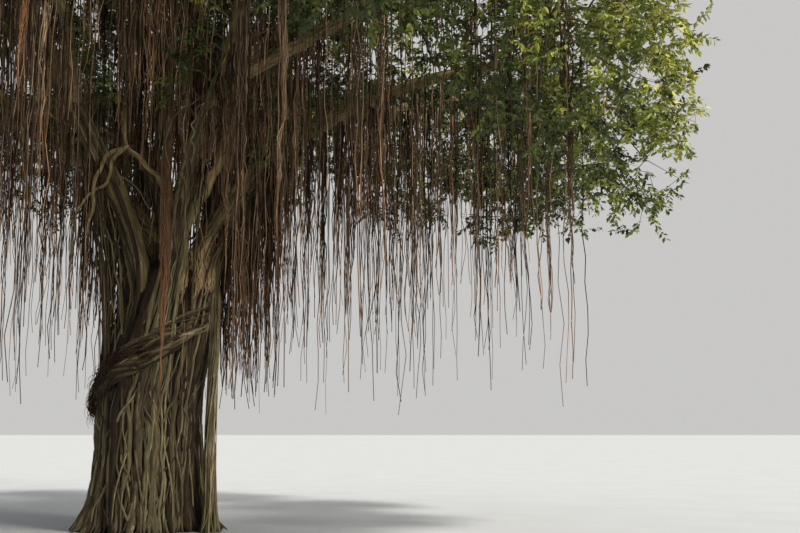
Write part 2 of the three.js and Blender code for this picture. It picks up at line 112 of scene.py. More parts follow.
# The size of the lumps on rough roots, how rough most bark is, as a share of a root's radius, and how far
# each tube's grain is moved from that of the one before
ROUGH_SIZE = 0.09
ROUGH_BARK = 0.13
GRAIN_STEP = 0.737
# A limb thicker than this at its foot has more sides and more roots on its skin
THICK_LIMB = 0.2
# How far a limb wanders, as a share of its reach
WANDER = 0.022
# Seeds, those of the limbs and the main twigs as in the part. A limb or mass adds to its kind's by its number
SEEDS = {
    "leader": 9, "bough": 11, "side_limb": 31, "top_limb": 51, "main_twigs": 101, "fine_twigs": 500,
    "foliage": 600, "bark": 200, "skin_roots": 300, "trunk": 20, "pillar": 21, "crooked": 22, "hanging": 40,
}


def stream(seed):
    """A repeatable stream of numbers from 0 to 1, the same as the part's."""
    state = seed & 0xFFFFFFFF

    def draw():
        nonlocal state
        state = (state + 0x6D2B79F5) & 0xFFFFFFFF
        mixed = ((state ^ (state >> 15)) * (state | 1)) & 0xFFFFFFFF
        stirred = ((mixed ^ (mixed >> 7)) * (mixed | 61)) & 0xFFFFFFFF
        mixed = ((mixed + stirred) & 0xFFFFFFFF) ^ mixed
        return ((mixed ^ (mixed >> 14)) & 0xFFFFFFFF) / 4294967296

    return draw


def lerp(a, b, t):
    return a + (b - a) * t


def smoothstep(x, low, high):
    t = np.clip((x - low) / (high - low), 0, 1)
    return t * t * (3 - 2 * t)


def unit(vectors):
    return vectors / np.maximum(np.linalg.norm(vectors, axis=-1, keepdims=True), 1e-9)


def full_turn(count):
    """Evenly spaced angles, once round."""
    return 2 * math.pi * np.arange(count) / count


def outward(angle):
    """Level unit vectors at angles from +X."""
    return np.stack([np.cos(angle), np.sin(angle), np.zeros_like(angle)], axis=-1)


def ripple(rng, count, wave_low, wave_high, terms=3):
    """For each of count lines, a smooth random function of the way along it, within about 1 either way, of
    waves between two lengths. The ways along are one row for each line, or one row for all of them."""
    wave = rng.uniform(wave_low, wave_high, (count, terms))
    phase = rng.uniform(0, 2 * math.pi, (count, terms))
    weight = rng.uniform(0.4, 1, (count, terms))
    weight /= weight.sum(axis=1, keepdims=True)

    def value(along):
        waves = np.sin(2 * math.pi * along[..., None] / wave[:, None] + phase[:, None])
        return (waves * weight[:, None]).sum(axis=-1)

    return value


def lumps(points, seed, size, terms=7):
    """A smooth random field in space, within about 1 either way, with features of that size."""
    rng = np.random.default_rng(seed)
    waves = unit(rng.normal(size=(terms, 3))) * rng.uniform(0.7, 1.6, (terms, 1)) * 2 * math.pi / size
    phase = rng.uniform(0, 2 * math.pi, terms)
    return np.sin(points @ waves.T + phase).sum(axis=-1) / math.sqrt(terms)


# Meshes


def put_in_scene(name, data):
    """A new object with some data, in the scene."""
    made = bpy.data.objects.new(name, data)
    bpy.context.scene.collection.objects.link(made)
    return made


class Shape:
    """Corners and faces that are gathered, and then made into one piece."""

    def __init__(self):
        self.points, self.grain, self.tone, self.young, self.faces = [], [], [], [], {}
        self.size = 0

    def add(self, points, faces, grain=None, tone=0.5, young=0.0):
        """points is rows of corners; faces is a list of arrays, each with one face in a row."""
        count = len(points)
        self.points.append(points)
        self.grain.append(points if grain is None else grain)
        self.tone.append(np.broadcast_to(tone, (count,)))
        self.young.append(np.broadcast_to(young, (count,)))
        for rows in faces:
            self.faces.setdefault(rows.shape[1], []).append(rows + self.size)
        self.size += count

    def make(self, name, material, slot, replaced=(), smooth=True):
        """The finished piece. It rides on the tree's one body."""
        mesh = bpy.data.meshes.new(name)
        points = np.concatenate(self.points).astype(np.float32)
        rows = [np.concatenate(group) for group in self.faces.values()]
        corners = np.concatenate([group.ravel() for group in rows]).astype(np.int32)
        widths = np.concatenate([np.full(len(group), group.shape[1]) for group in rows])
        starts = (np.cumsum(widths) - widths).astype(np.int32)
        mesh.vertices.add(len(points))
        mesh.vertices.foreach_set("co", points.ravel())
        mesh.loops.add(len(corners))
        mesh.loops.foreach_set("vertex_index", corners)
        mesh.polygons.add(len(starts))
        mesh.polygons.foreach_set("loop_start", starts)
        mesh.polygons.foreach_set("use_smooth", np.full(len(starts), smooth))
        for label, kind, field in (
            ("grain", "FLOAT_VECTOR", "vector"), ("tone", "FLOAT", "value"), ("young", "FLOAT", "value"),
        ):
            values = np.concatenate(getattr(self, label)).astype(np.float32)
            mesh.attributes.new(label, kind, "POINT").data.foreach_set(field, values.ravel())
        mesh.update(calc_edges=True)
        mesh.materials.append(material)
        piece = put_in_scene(name, mesh)
        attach(piece, "root")
        if replaced:
            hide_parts(*replaced)


def quads_between(index):
    """Four-cornered faces between each ring of corner numbers and the next ring."""
    here, there = index[..., :-1, :], index[..., 1:, :]
    return np.stack([here, np.roll(here, -1, -1), np.roll(there, -1, -1), there], axis=-1).reshape(-1, 4)


def line_frames(lines, helper):
    """Two vectors square to each line at each of its points; helper is a direction that no line follows."""
    travel = unit(np.gradient(lines, axis=1))
    side = unit(np.cross(np.broadcast_to(helper, lines.shape), travel))
    return side, np.cross(travel, side)


def spokes(side, above, count):
    """Unit vectors all round, between two that are square to each other."""
    turn = full_turn(count)[:, None]
    return np.cos(turn) * side[..., None, :] + np.sin(turn) * above[..., None, :]


def helpers_for(lines):
    """For each line, an axis that it doesn't run along."""
    way = np.abs(unit(lines[:, -1] - lines[:, 0]))
    return np.where(way[:, 2:] < 0.8, UP, SIDEWAYS)[:, None]


def add_tubes(shape, lines, radii, sides, helper=None, tone=0.5, young=0.0, floor=None, rough=0.0):
    """Tubes along lines (lines x rings x 3) with radii (lines x rings), closed at both ends. Where floor is
    a height, none goes below it."""
    count, rings = lines.shape[:2]
    side, above = line_frames(lines, helpers_for(lines) if helper is None else helper)
    away = spokes(side, above, sides)
    reach = radii[:, :, None, None]
    if rough:
        skin = lines[:, :, None] + reach * away
        reach = reach * (1 + rough * lumps(skin * [1, 1, 0.4], seed=5, size=ROUGH_SIZE))[..., None]
    points = lines[:, :, None] + reach * away
    if floor is not None:
        points[..., 2] = np.maximum(points[..., 2], floor)
    along = np.cumsum(np.linalg.norm(np.diff(lines, axis=1, prepend=lines[:, :1]), axis=2), axis=1)
    grain = radii[:, :, None, None] * outward(full_turn(sides)) + along[:, :, None, None] * UP
    grain += (np.arange(count) * GRAIN_STEP % 5)[:, None, None, None]
    index = np.arange(count * rings * sides).reshape(count, rings, sides)
    faces = [quads_between(index), index[:, 0, ::-1], index[:, -1]]
    tones, youths = (spread_over(value, points.shape[:3]) for value in (tone, young))
    shape.add(points.reshape(-1, 3), faces, grain.reshape(-1, 3), tones, youths)


def spread_over(value, form):
    """A value for all tubes, for each tube or for each ring, given to every corner."""
    rows = (-1, form[1], 1) if np.ndim(value) == 2 else (-1, 1, 1)
    return np.broadcast_to(np.reshape(value, rows), form).ravel()


def deal_tubes(shapes, rng, shares, lines, radii, sides, helper=UP, painted_shade=0.0, **more):
    """Tubes that are each dealt to one of several shapes by their shares, so that neighbours differ in
    colour. Painted shade takes some tone from them, and paints light instead where it is below 0. It may
    differ from ring to ring."""
    kinds = rng.choice(len(shapes), len(lines), p=shares)
    tone = rng.uniform(0, 1, (len(lines), 1)) - painted_shade * np.ones(lines.shape[:2])
    helper = np.broadcast_to(helper, (len(lines), 1, 3))
    for kind, shape in enumerate(shapes):
        mine = kinds == kind
        if mine.any():
            add_tubes(shape, lines[mine], radii[mine], sides, helper[mine], tone[mine], **more)


# Trunk surface


def trunk_centre(z):
    x = TRUNK["foot"] + TRUNK["lean"] * smoothstep(z, 2.2, TRUNK["height"])
    return np.stack([x, np.zeros_like(x), z], axis=-1)


def trunk_radius(angle, z):
    flare = FLARE["size"] * np.exp(-z / FLARE["height"])
    neck = TRUNK["neck"] * smoothstep(z, 3.0, TRUNK["height"])
    crown = 0.55 * smoothstep(z, TRUNK["height"] - 0.5, TRUNK["height"])
    bulk = 0.05 * np.sin(3 * angle + z / 2.6 + 0.6) + 0.035 * np.sin(5 * angle - z / 1.9)
    buttress = 1.6 * flare * (0.5 + 0.5 * np.sin(4 * angle + 0.9)) - 0.4 * flare
    phase = 1.1 * np.sin(2 * angle + 0.4) + 0.35 * np.sin(z / 0.9 + angle)
    strand = np.sqrt(np.abs(np.sin(FLUTES["count"] / 2 * angle + phase)))
    oval = 1 / np.hypot(np.cos(angle) / TRUNK["half_width"], np.sin(angle) / TRUNK["half_depth"])
    return oval * (1 + flare * 0.4 + buttress - neck - crown + bulk + FLUTES["depth"] * (strand - 0.6))


def trunk_angle(points):
    """The angle of points as seen from the trunk's middle at their height."""
    away = points - trunk_centre(points[:, 2])
    return np.arctan2(away[:, 1], away[:, 0])


def on_trunk(angle, z, proud):
    """Points that stand proud of the trunk's surface by some way."""
    return trunk_centre(z) + (trunk_radius(angle, z) + proud)[..., None] * outward(angle)


# Limbs


class Limb:
    """A limb's own curve, from its foot at 0 to its tip at 1, with a seeded wander on the way."""

    def __init__(self, name, corners, radii, seed):
        self.name = name
        self.corners = [np.array(corner, dtype=float) for corner in corners]
        self.radii = radii
        foot, tip = self.corners[0], self.corners[3]
        self.along = unit((tip - foot) * [1, 1, 0])
        self.side = np.array([-self.along[1], self.along[0], 0.0])
        self.phase = 2 * math.pi * stream(seed)()
        self.wander = np.linalg.norm(tip - foot) * WANDER

    def at(self, t):
        t = np.asarray(t, dtype=float)[..., None]
        a, b, c, d = self.corners
        curve = (1 - t) ** 3 * a + 3 * (1 - t) ** 2 * t * b + 3 * (1 - t) * t ** 2 * c + t ** 3 * d
        fade = self.wander * np.sin(math.pi * t)
        sideways = fade * np.sin(9 * t + self.phase) * self.side
        return curve + sideways + 0.7 * fade * np.cos(8 * t + self.phase) * UP

    def radius(self, t):
        return lerp(self.radii[0], self.radii[1], np.asarray(t, dtype=float) ** 0.7)

    def frames(self, t):
        """Travel, sideways and upward vectors at each place."""
        travel = unit(self.at(np.minimum(t + 0.01, 1)) - self.at(np.maximum(t - 0.01, 0)))
        across = unit(self.side - (travel @ self.side)[..., None] * travel)
        return travel, across, np.cross(travel, across)

    def length(self):
        return np.linalg.norm(np.diff(self.at(np.linspace(0, 1, 60)), axis=0), axis=1).sum()

    def on_skin(self, t, turn, proud=0.0):
        """A point on the limb's skin: turn 0 is its underside, and grows towards its left."""
        _, across, above = self.frames(t)
        reach = (self.radius(t) + proud)[..., None]
        return self.at(t) + reach * (np.sin(turn)[..., None] * across - np.cos(turn)[..., None] * above)


def rim_height(heading):
    return RIM["height"] + RIM["lift"] * math.sin(math.radians(heading)) ** 2


def pulled(foot, tip, share, lift):
    return lerp(foot, tip, share) + lift * UP


def rim_tip(heading):
    return outward(math.radians(heading)) * RIM["reach"] + rim_height(heading) * UP


def bough_limb(name, heading, foot, lift, radius, index):
    foot, tip = np.array(foot), rim_tip(heading)
    corners = [foot, pulled(foot, tip, 0.12, lift), pulled(foot, tip, 0.5, lift), tip]
    return Limb(name, corners, (radius, RIM["tip_radius"]), SEEDS["bough"] + index)


def side_limb(bough, heading, index):
    foot = bough.at(round(SIDE_LIMB["foot"] * BOUGH_STEPS) / BOUGH_STEPS)
    tip = rim_tip(heading)
    corners = [foot, pulled(foot, tip, 0.3, 0.5), pulled(foot, tip, 0.65, 0.7), tip]
    name = bough.name.replace("bough", "side_limb")
    return Limb(name, corners, (SIDE_LIMB["radius"], RIM["tip_radius"]), SEEDS["side_limb"] + index)


def top_limb(leader, index):
    heading = TOP_LIMB["first_heading"] + 360 / TOP_LIMB["count"] * index
    share = TOP_RING["foot"] + TOP_RING["foot_step"] * index
    foot = leader.at(round(share * LEADER_STEPS) / LEADER_STEPS)
    tip = outward(math.radians(heading)) * TOP_RING["reach"] + TOP_RING["height"] * UP
    corners = [foot, pulled(foot, tip, 0.3, 0.35), pulled(foot, tip, 0.7, 0.5), tip]
    radii = (TOP_LIMB["radius"], TOP_RING["tip_radius"])
    return Limb(f"top_limb_{index + 1}", corners, radii, SEEDS["top_limb"] + index)


def make_leader():
    foot, bend, tip = (np.array(LEADER[key], dtype=float) for key in ("foot", "bend", "tip"))
    return Limb("leader", [foot, bend, lerp(bend, tip, 0.3), tip], LEADER["radii"], SEEDS["leader"])


leader = make_leader()
boughs = [bough_limb(name, *facts, i) for i, (name, facts) in enumerate(BOUGHS.items())]
side_limbs = [side_limb(b, BOUGHS[b.name][0] + SIDE_LIMB["turn"], i) for i, b in enumerate(boughs)]
top_limbs = [top_limb(leader, i) for i in range(TOP_LIMB["count"])]
limbs = [leader, *boughs, *side_limbs, *top_limbs]
bough_named = dict(zip(BOUGHS, boughs))

# Materials


def node_maker(name):
    """A new material and a function that adds a node to it, with its inputs and settings."""
    material = bpy.data.materials.new(name)
    material.use_nodes = True
    tree = material.node_tree
    shader = tree.nodes["Principled BSDF"]

    def node(kind, inputs=None, **settings):
        made = tree.nodes.new(kind)
        for key, value in settings.items():
            setattr(made, key, value)
        for key, value in (inputs or {}).items():
            if isinstance(value, bpy.types.NodeSocket):
                tree.links.new(value, made.inputs[key])
            else:
                made.inputs[key].default_value = value
        return made

    def join(key, socket):
        tree.links.new(socket, shader.inputs[key])

    return material, shader, node, join


def ramp(node, factor, stops):
    """A colour ramp from a list of (place, (red, green, blue))."""
    made = node("ShaderNodeValToRGB", {"Fac": factor})
    elements = made.color_ramp.elements
    while len(elements) < len(stops):
        elements.new(0.5)
    for element, (place, colour) in zip(elements, stops):
        element.position = place
        element.color = (*colour, 1)
    return made.outputs["Color"]


def attribute(node, label, output="Fac"):
    return node("ShaderNodeAttribute", attribute_name=label).outputs[output]


def noise(node, place, scale, detail, roughness=0.5):
    inputs = {"Vector": place, "Scale": scale, "Detail": detail, "Roughness": roughness}
    return node("ShaderNodeTexNoise", inputs).outputs["Fac"]


def mixed(node, share, colour, tint):
    """A colour drawn towards a tint."""
    return node("ShaderNodeMix", {0: share, 6: colour, 7: (*tint, 1)}, data_type="RGBA").outputs[2]


def toned(node, colour, span):
    """A colour made darker or paler by the tone of its strand or spray; in places that tone also holds
    painted shade and painted light.
    """
    bright = node("ShaderNodeMapRange", {"Value": attribute(node, "tone"), **span}).outputs[0]
    return node("ShaderNodeVectorMath", {0: colour, "Scale": bright}, operation="SCALE").outputs[0]


def raised(node, heights, strength, distance):
    inputs = {"Height": heights, "Strength": strength, "Distance": distance}
    return node("ShaderNodeBump", inputs).outputs["Normal"]


def fibrous_material(name, dark, middle, pale, tint, stretch, bump, young_or_sunlit_tint=None):
    """Bark or root: streaks along the grain, a slow drift towards a tint, and a tone for each strand."""
    material, shader, node, join = node_maker(name)
    place = node("ShaderNodeTexCoord").outputs["Object"]
    along = {"Vector": attribute(node, "grain", "Vector"), "Scale": (1, 1, stretch)}
    streaks = noise(node, node("ShaderNodeMapping", along).outputs["Vector"], 26, 6, 0.68)
    colour = ramp(node, streaks, [(0.3, dark), (0.5, middle), (0.68, pale)])
    patches = {"Value": noise(node, place, 1.1, 4), "From Min": 0.42, "From Max": 0.68, "To Max": 0.6}
    colour = mixed(node, node("ShaderNodeMapRange", patches).outputs[0], colour, tint)
    # Young parts take this tint, and on the pale bark it is the warm colour of painted sunlight
    if young_or_sunlit_tint:
        colour = mixed(node, attribute(node, "young"), colour, young_or_sunlit_tint)
    span = {"From Min": -0.5, "From Max": 1.5, "To Min": 0.1, "To Max": 1.9}
    join("Base Color", toned(node, colour, span))
    heights = node("ShaderNodeMath", {0: streaks, 1: noise(node, place, 55, 3)}, operation="ADD")
    join("Normal", raised(node, heights.outputs[0], bump, 0.012))
    shader.inputs["Roughness"].default_value = 0.9
    shader.inputs["Specular IOR Level"].default_value = 0.25
    return material


def leaf_material(name, base, warm, gloss):
    """Leaf: a base colour that warms in patches, with a tone for each spray and a faint vein relief."""
    material, shader, node, join = node_maker(name)
    place = node("ShaderNodeTexCoord").outputs["Object"]
    colour = ramp(node, noise(node, place, 2.2, 3), [(0.38, base), (0.66, warm)])
    join("Base Color", toned(node, colour, {"To Min": 0.6, "To Max": 1.4}))
    veins = noise(node, place, 60, 2)
    dull = node("ShaderNodeMapRange", {"Value": veins, "To Min": gloss, "To Max": gloss + 0.25})
    join("Roughness", dull.outputs[0])
    join("Normal", raised(node, veins, 0.15, 0.004))
    shader.inputs["Specular IOR Level"].default_value = 0.4
    return material


# Each bark's dark, middle and pale streaks and its tint, how far the streaks are drawn out and how deep the
# relief is, and the tint of its young parts. The pale bark's tint of that kind is used only as the warm
# colour of painted sunlight on the cords at the east bough's foot
TRUNK_GRAIN = (0.12, 0.7)
ROOT_GRAIN = (0.06, 0.5)
pale_bark = fibrous_material(
    "pale_root_bark", (0.060, 0.045, 0.022), (0.160, 0.132, 0.072), (0.32, 0.28, 0.175),
    (0.104, 0.094, 0.042), *TRUNK_GRAIN, (0.36, 0.235, 0.115))
brown_bark = fibrous_material(
    "brown_root_bark", (0.027, 0.020, 0.010), (0.088, 0.070, 0.036), (0.20, 0.17, 0.10),
    (0.062, 0.056, 0.023), *TRUNK_GRAIN)
dark_bark = fibrous_material(
    "dark_root_bark", (0.010, 0.006, 0.003), (0.036, 0.023, 0.012), (0.095, 0.068, 0.040),
    (0.026, 0.016, 0.009), *TRUNK_GRAIN, (0.07, 0.030, 0.015))
limb_bark = fibrous_material(
    "limb_bark", (0.038, 0.028, 0.012), (0.141, 0.105, 0.047), (0.31, 0.25, 0.135),
    (0.096, 0.083, 0.033), 0.16, 0.6)
dark_root = fibrous_material(
    "dark_hanging_root", (0.006, 0.003, 0.0012), (0.024, 0.013, 0.0055), (0.080, 0.048, 0.024),
    (0.016, 0.009, 0.004), *ROOT_GRAIN, (0.10, 0.048, 0.022))
brown_root = fibrous_material(
    "brown_hanging_root", (0.018, 0.010, 0.004), (0.122, 0.080, 0.045), (0.40, 0.29, 0.19),
    (0.070, 0.046, 0.025), *ROOT_GRAIN, (0.29, 0.152, 0.075))
red_root = fibrous_material(
    "young_hanging_root", (0.044, 0.023, 0.010), (0.175, 0.100, 0.050), (0.42, 0.27, 0.165),
    (0.115, 0.065, 0.031), *ROOT_GRAIN, (0.38, 0.158, 0.072))
twig_bark = fibrous_material(
    "twig_bark", (0.03, 0.022, 0.012), (0.08, 0.06, 0.032), (0.16, 0.125, 0.07),
    (0.07, 0.07, 0.028), 0.2, 0.3, (0.12, 0.14, 0.04))
# Lit and shaded copies of one leaf, from darkest to palest: the darker kinds are painted shade and the paler
# ones painted sunlight, dealt to sprays by the light they get
LEAF_KINDS = {
    "deep": leaf_material("deep_leaf", (0.017, 0.029, 0.005), (0.027, 0.040, 0.006), 0.55),
    "shaded": leaf_material("shaded_leaf", (0.040, 0.061, 0.008), (0.060, 0.081, 0.010), 0.52),
    "middle": leaf_material("middle_leaf", (0.094, 0.126, 0.014), (0.132, 0.156, 0.017), 0.5),
    "bright": leaf_material("bright_leaf", (0.195, 0.228, 0.028), (0.25, 0.265, 0.036), 0.48),
    "sunlit": leaf_material("sunlit_leaf", (0.33, 0.345, 0.056), (0.42, 0.405, 0.085), 0.46),
}

# Trunk

# Shares of pale, brown and dark bark for each kind of root beyond the trunk's layers
BARK_SHARES = {
    "limb": (0.3, 0.45, 0.25), "fork_veil": (0.35, 0.4, 0.25), "left_veil": (0.12, 0.43, 0.45),
    "girdle": (0.08, 0.42, 0.5), "arch": (0.5, 0.4, 0.1), "cross": (0.4, 0.45, 0.15),
    "stray": (0.45, 0.4, 0.15),
}


def trunk_core():
    """The trunk's own surface, sunk a little so that the roots on it stand proud. Its dark bark and low tone
    are painted shade in the gaps between the roots.
    """
    shape = Shape()
    around, levels, sunk = 150, 70, 0.035
    angle = np.broadcast_to(full_turn(around), (levels, around))
    z = np.broadcast_to((TRUNK["height"] * np.linspace(0, 1, levels) ** 1.15)[:, None], (levels, around))
    points = on_trunk(angle, z, -sunk)
    relief = 0.018 * lumps(points * [1, 1, 0.35], seed=3, size=0.22)
    relief += 0.008 * lumps(points * [1, 1, 0.3], seed=4, size=0.07)
    points = points + relief[..., None] * outward(angle)
    index = np.arange(levels * around).reshape(levels, around)
    shape.add(points.reshape(-1, 3), [quads_between(index), index[:1, ::-1], index[-1:]], tone=0.25)
    return shape


def down_trunk(rng, angles, top, rings, drift):
    """Lines down the trunk's face from a height at each angle: (angle, height) at each ring."""
    fall = np.linspace(0, 1, rings) ** 0.85
    z = top[:, None] * (1 - fall)
    slow = ripple(rng, len(angles), 1.6, 4.5)(z)
    quick = ripple(rng, len(angles), 0.4, 1.1)(z)
    return angles[:, None] + drift[:, None] * slow + 0.026 * quick, z


def painted_low_shade(lines):
    """How much painted shade takes tone from the bark on the lower trunk: less at the foot, and at the foot's
    left it turns to painted light.
    """
    x, z = lines[..., 0], lines[..., 2]
    at_foot = 1 - smoothstep(z, 1.9, 2.6)
    return 0.42 * (1 - smoothstep(z, 2.2, 4.2)) - at_foot * (0.2 + 0.4 * smoothstep(-x, 0.3, 1.1))


def root_radii(rng, sizes, z):
    """Radii along roots on the trunk: they swell and shrink, thicken low down and end in a thin toe."""
    swell = 1 + 0.28 * ripple(rng, len(sizes), 0.7, 2.2)(z)
    toe = lerp(0.3, 1, smoothstep(z, 0, 0.2))
    return sizes[:, None] * swell * (1 + 0.5 * np.exp(-z / 0.35)) * toe


def round_trunk(angles):
    """For each angle, the level direction along the trunk's face, as a helper for its tubes."""
    return np.cross(UP, outward(angles))[:, None]


def lay_on_trunk(shapes, rng, shares, lines, radii, angles, sides=6, rough=ROUGH_BARK):
    """Roots on the trunk, dealt to the shapes by shares: darker low down with painted shade, and none below
    the ground.
    """
    deal_tubes(
        shapes, rng, shares, lines, radii, sides, round_trunk(angles), painted_low_shade(lines),
        floor=0.0, rough=rough)


def face_roots(shapes, rng, shares, count, tops, sizes, drift, stand):
    """Roots that start on the trunk's face, rise out of it and run down to the ground."""
    angles = 2 * math.pi * (np.arange(count) + rng.uniform(0, 1, count)) / count
    top = rng.uniform(*tops, count)
    size = rng.uniform(0, 1, count) ** 1.6 * (sizes[1] - sizes[0]) + sizes[0]
    angle, z = down_trunk(rng, angles, top, rings=34, drift=rng.uniform(*drift, count))
    radii = root_radii(rng, size, z)
    rise = smoothstep(top[:, None] - z, 0, 0.9)
    foot = rng.uniform(0.1, 1, (count, 1)) ** 2 * 0.2 * np.exp(-z / 0.15)
    proud = lerp(-0.06, stand[0] * radii + stand[1], rise) + foot - 0.03
    lay_on_trunk(shapes, rng, shares, on_trunk(angle, z, proud), radii * lerp(0.3, 1, rise), angles)


def limb_roots(shapes, rng, limb, count, start_range, size_range):
    """Roots that run down a limb's skin, cross onto the trunk below it and go on to the ground."""
    start = rng.uniform(*start_range, count)
    steps_above, steps_below, onto_trunk = 20, 30, 5.25
    enter = limb_share_at(limb, onto_trunk)
    t = lerp(start[:, None], enter, np.linspace(0, 1, steps_above))
    turn = rng.uniform(-1.9, 1.9, (count, 1)) + 0.5 * ripple(rng, count, 0.4, 1.1)(t)
    sizes = rng.uniform(*size_range, count)
    begin = smoothstep(np.linspace(0, 1, steps_above), 0, 0.2) * np.ones((count, 1))
    radii_above = sizes[:, None] * lerp(0.35, 1, begin)
    above = limb.on_skin(t, turn, lerp(-1, 0.35, begin) * radii_above)
    last = above[:, -1]
    angles = trunk_angle(last)
    angle, z = down_trunk(rng, angles, last[:, 2] - 0.35, steps_below, rng.uniform(0.02, 0.12, count))
    angle += (angles - angle[:, 0])[:, None] * np.exp(-3 * np.linspace(0, 1, steps_below))
    radii_below = root_radii(rng, sizes, z)
    foot = rng.uniform(0, 0.16, (count, 1)) * np.exp(-z / 0.15)
    below = on_trunk(angle, z, 0.7 * radii_below + foot - 0.02)
    lines = ease_join(np.concatenate([above, below], axis=1), steps_above)
    radii = np.concatenate([radii_above, radii_below], axis=1)
    lay_on_trunk(shapes, rng, BARK_SHARES["limb"], lines, radii, angles)


def ease_join(lines, join, reach=9, rounds=6):
    """Lines whose points near a join are drawn towards the middle of their neighbours."""
    middle = slice(join - reach, join + reach)
    for _ in range(rounds):
        before = lines[:, join - reach - 1:join + reach - 1]
        after = lines[:, join - reach + 1:join + reach + 1]
        lines[:, middle] = lerp(lines[:, middle], (before + after) / 2, 0.6)
    return lines


def limb_share_at(limb, height):
    """How far along a limb it passes a height."""
    t = np.linspace(0, 1, 200)
    return float(np.interp(height, limb.at(t)[:, 2], t))


def veil_roots(shapes, rng, shares, start, angles, touch, size_range):
    """Roots that hang from their starts, swing in to touch the trunk's face and run down it to the ground."""
    count = len(start)
    sizes = rng.uniform(*size_range, count)
    fall, face = 16, 20
    angle, z = down_trunk(rng, angles, touch, face, rng.uniform(0.02, 0.1, count))
    radii_below = root_radii(rng, sizes, z)
    below = on_trunk(angle, z, 0.9 * radii_below)
    s = np.linspace(0, 1, fall)
    hang = lerp(start[:, None], below[:, :1], s[:, None])
    hang[..., :2] = lerp(below[:, :1, :2], start[:, None, :2], ((1 - s) ** 1.6)[:, None])
    wave = ripple(rng, count, 0.5, 1.4)(hang[..., 2]) * np.sin(math.pi * s)
    hang[..., :2] += 0.04 * wave[..., None] * rng.normal(size=(count, 1, 2))
    lines = np.concatenate([hang, below[:, 1:]], axis=1)
    above = sizes[:, None] * lerp(0.6, 1.0, s)
    radii = np.concatenate([above, radii_below[:, 1:]], axis=1)
    lay_on_trunk(shapes, rng, shares, lines, radii, angles, sides=5, rough=0.0)


def fork_veil(shapes, rng, limb, count):
    """Roots from a limb's underside near the fork to the face below it."""
    t = rng.uniform(0.12, 0.34, count)
    start = limb.on_skin(t, rng.uniform(-1.2, 1.2, count), -0.01)
    angles = trunk_angle(start) + rng.normal(0, 0.16, count)
    touch = rng.uniform(2.9, 4.3, count)
    veil_roots(shapes, rng, BARK_SHARES["fork_veil"], start, angles, touch, size_range=(0.010, 0.030))


def girdle_place(girdle, place):
    """The angle and height of a band at some share of the way along it."""
    angle = np.radians(lerp(girdle["start"][0], girdle["end"][0], place))
    return angle, lerp(girdle["start"][1], girdle["end"][1], place)


def left_veil(shapes, rng, count):
    """Roots from the western boughs down to the left end of the lower band, open to the sky behind."""
    start = np.concatenate([
        limb.on_skin(rng.uniform(0.14, 0.34, count), rng.uniform(-1.3, 1.3, count), -0.01)
        for limb in (bough_named["bough_west"], bough_named["bough_southwest"])])
    angles, heights = girdle_place(GIRDLES[0], rng.uniform(0.55, 0.97, len(start)))
    # Paired in order, so that few of them cross
    starts_in_order, places_in_order = np.argsort(start @ [0.3, 1, 0]), np.argsort(-angles)
    angles[starts_in_order] = angles[places_in_order]
    heights[starts_in_order] = heights[places_in_order]
    touch = heights + rng.uniform(-0.3, 0.5, len(start))
    veil_roots(shapes, rng, BARK_SHARES["left_veil"], start, angles, touch, size_range=(0.008, 0.022))


# For each band, how many strands it has, how far they spread in its radii, and their size
GIRDLE_STRANDS = [(13, 0.85, 1.0), (12, 1.7, 0.5)]


def girdle_roots(shapes, rng):
    """Bands of roots that cross the trunk's front, twisted on each other and half sunk in it. Two strands of
    each are thicker."""
    for girdle, (strands, spread, scale) in zip(GIRDLES, GIRDLE_STRANDS):
        s = np.linspace(0, 1, 56)
        radius = girdle["radius"]
        twist = full_turn(strands)[:, None] + 2.6 * s + 1.1 * ripple(rng, strands, 0.3, 0.8)(s)
        begin = rng.uniform(-0.22, 0.04, (strands, 1))
        place = lerp(begin, 1 - rng.uniform(0, 0.1, (strands, 1)), s)
        angle, z = girdle_place(girdle, place)
        z = z + spread * radius * np.sin(twist)
        bow = np.sqrt(np.sin(math.pi * np.clip(s, 0.001, 0.999)))
        proud = radius * lerp(-1.5, 0.6, bow) + 0.55 * radius * np.cos(twist)
        lines = on_trunk(angle, z, proud)
        size = rng.uniform(0.026, 0.056, (strands, 1)) * scale
        size[:2] *= 1.7
        radii = size * lerp(0.3, 1, bow) * (1 + 0.3 * ripple(rng, strands, 0.1, 0.4)(place))
        # The bands get painted shade, which darkens them
        deal_tubes(shapes, rng, BARK_SHARES["girdle"], lines, radii, 7, painted_shade=0.15, rough=ROUGH_BARK)


def girdle_hairs(shape, rng):
    """Fine dark roots that fill the corner above the lower band and trail over it."""
    count, rings = 230, 12
    s = np.linspace(0, 1, rings)
    place = np.clip(rng.uniform(0.25, 0.98, (count, 1)) + 0.24 * (s - 0.5), 0, 1)
    angle, base = girdle_place(GIRDLES[0], place)
    rise = rng.uniform(-0.12, 0.62, (count, 1)) * (0.4 + 0.6 * smoothstep(place, 0.2, 0.6))
    z = base + rise + 0.06 * ripple(rng, count, 0.1, 0.3)(place)
    proud = rng.uniform(0.02, 0.14, (count, 1)) + 0.03 * ripple(rng, count, 0.08, 0.2)(place)
    lines = on_trunk(angle, z, proud + 0.1 * np.exp(-(rise / 0.12) ** 2))
    radii = rng.uniform(0.006, 0.013, (count, 1)) * np.ones(rings)
    add_tubes(shape, lines, radii, 3, UP, rng.uniform(0, 1, count), young=0.25)


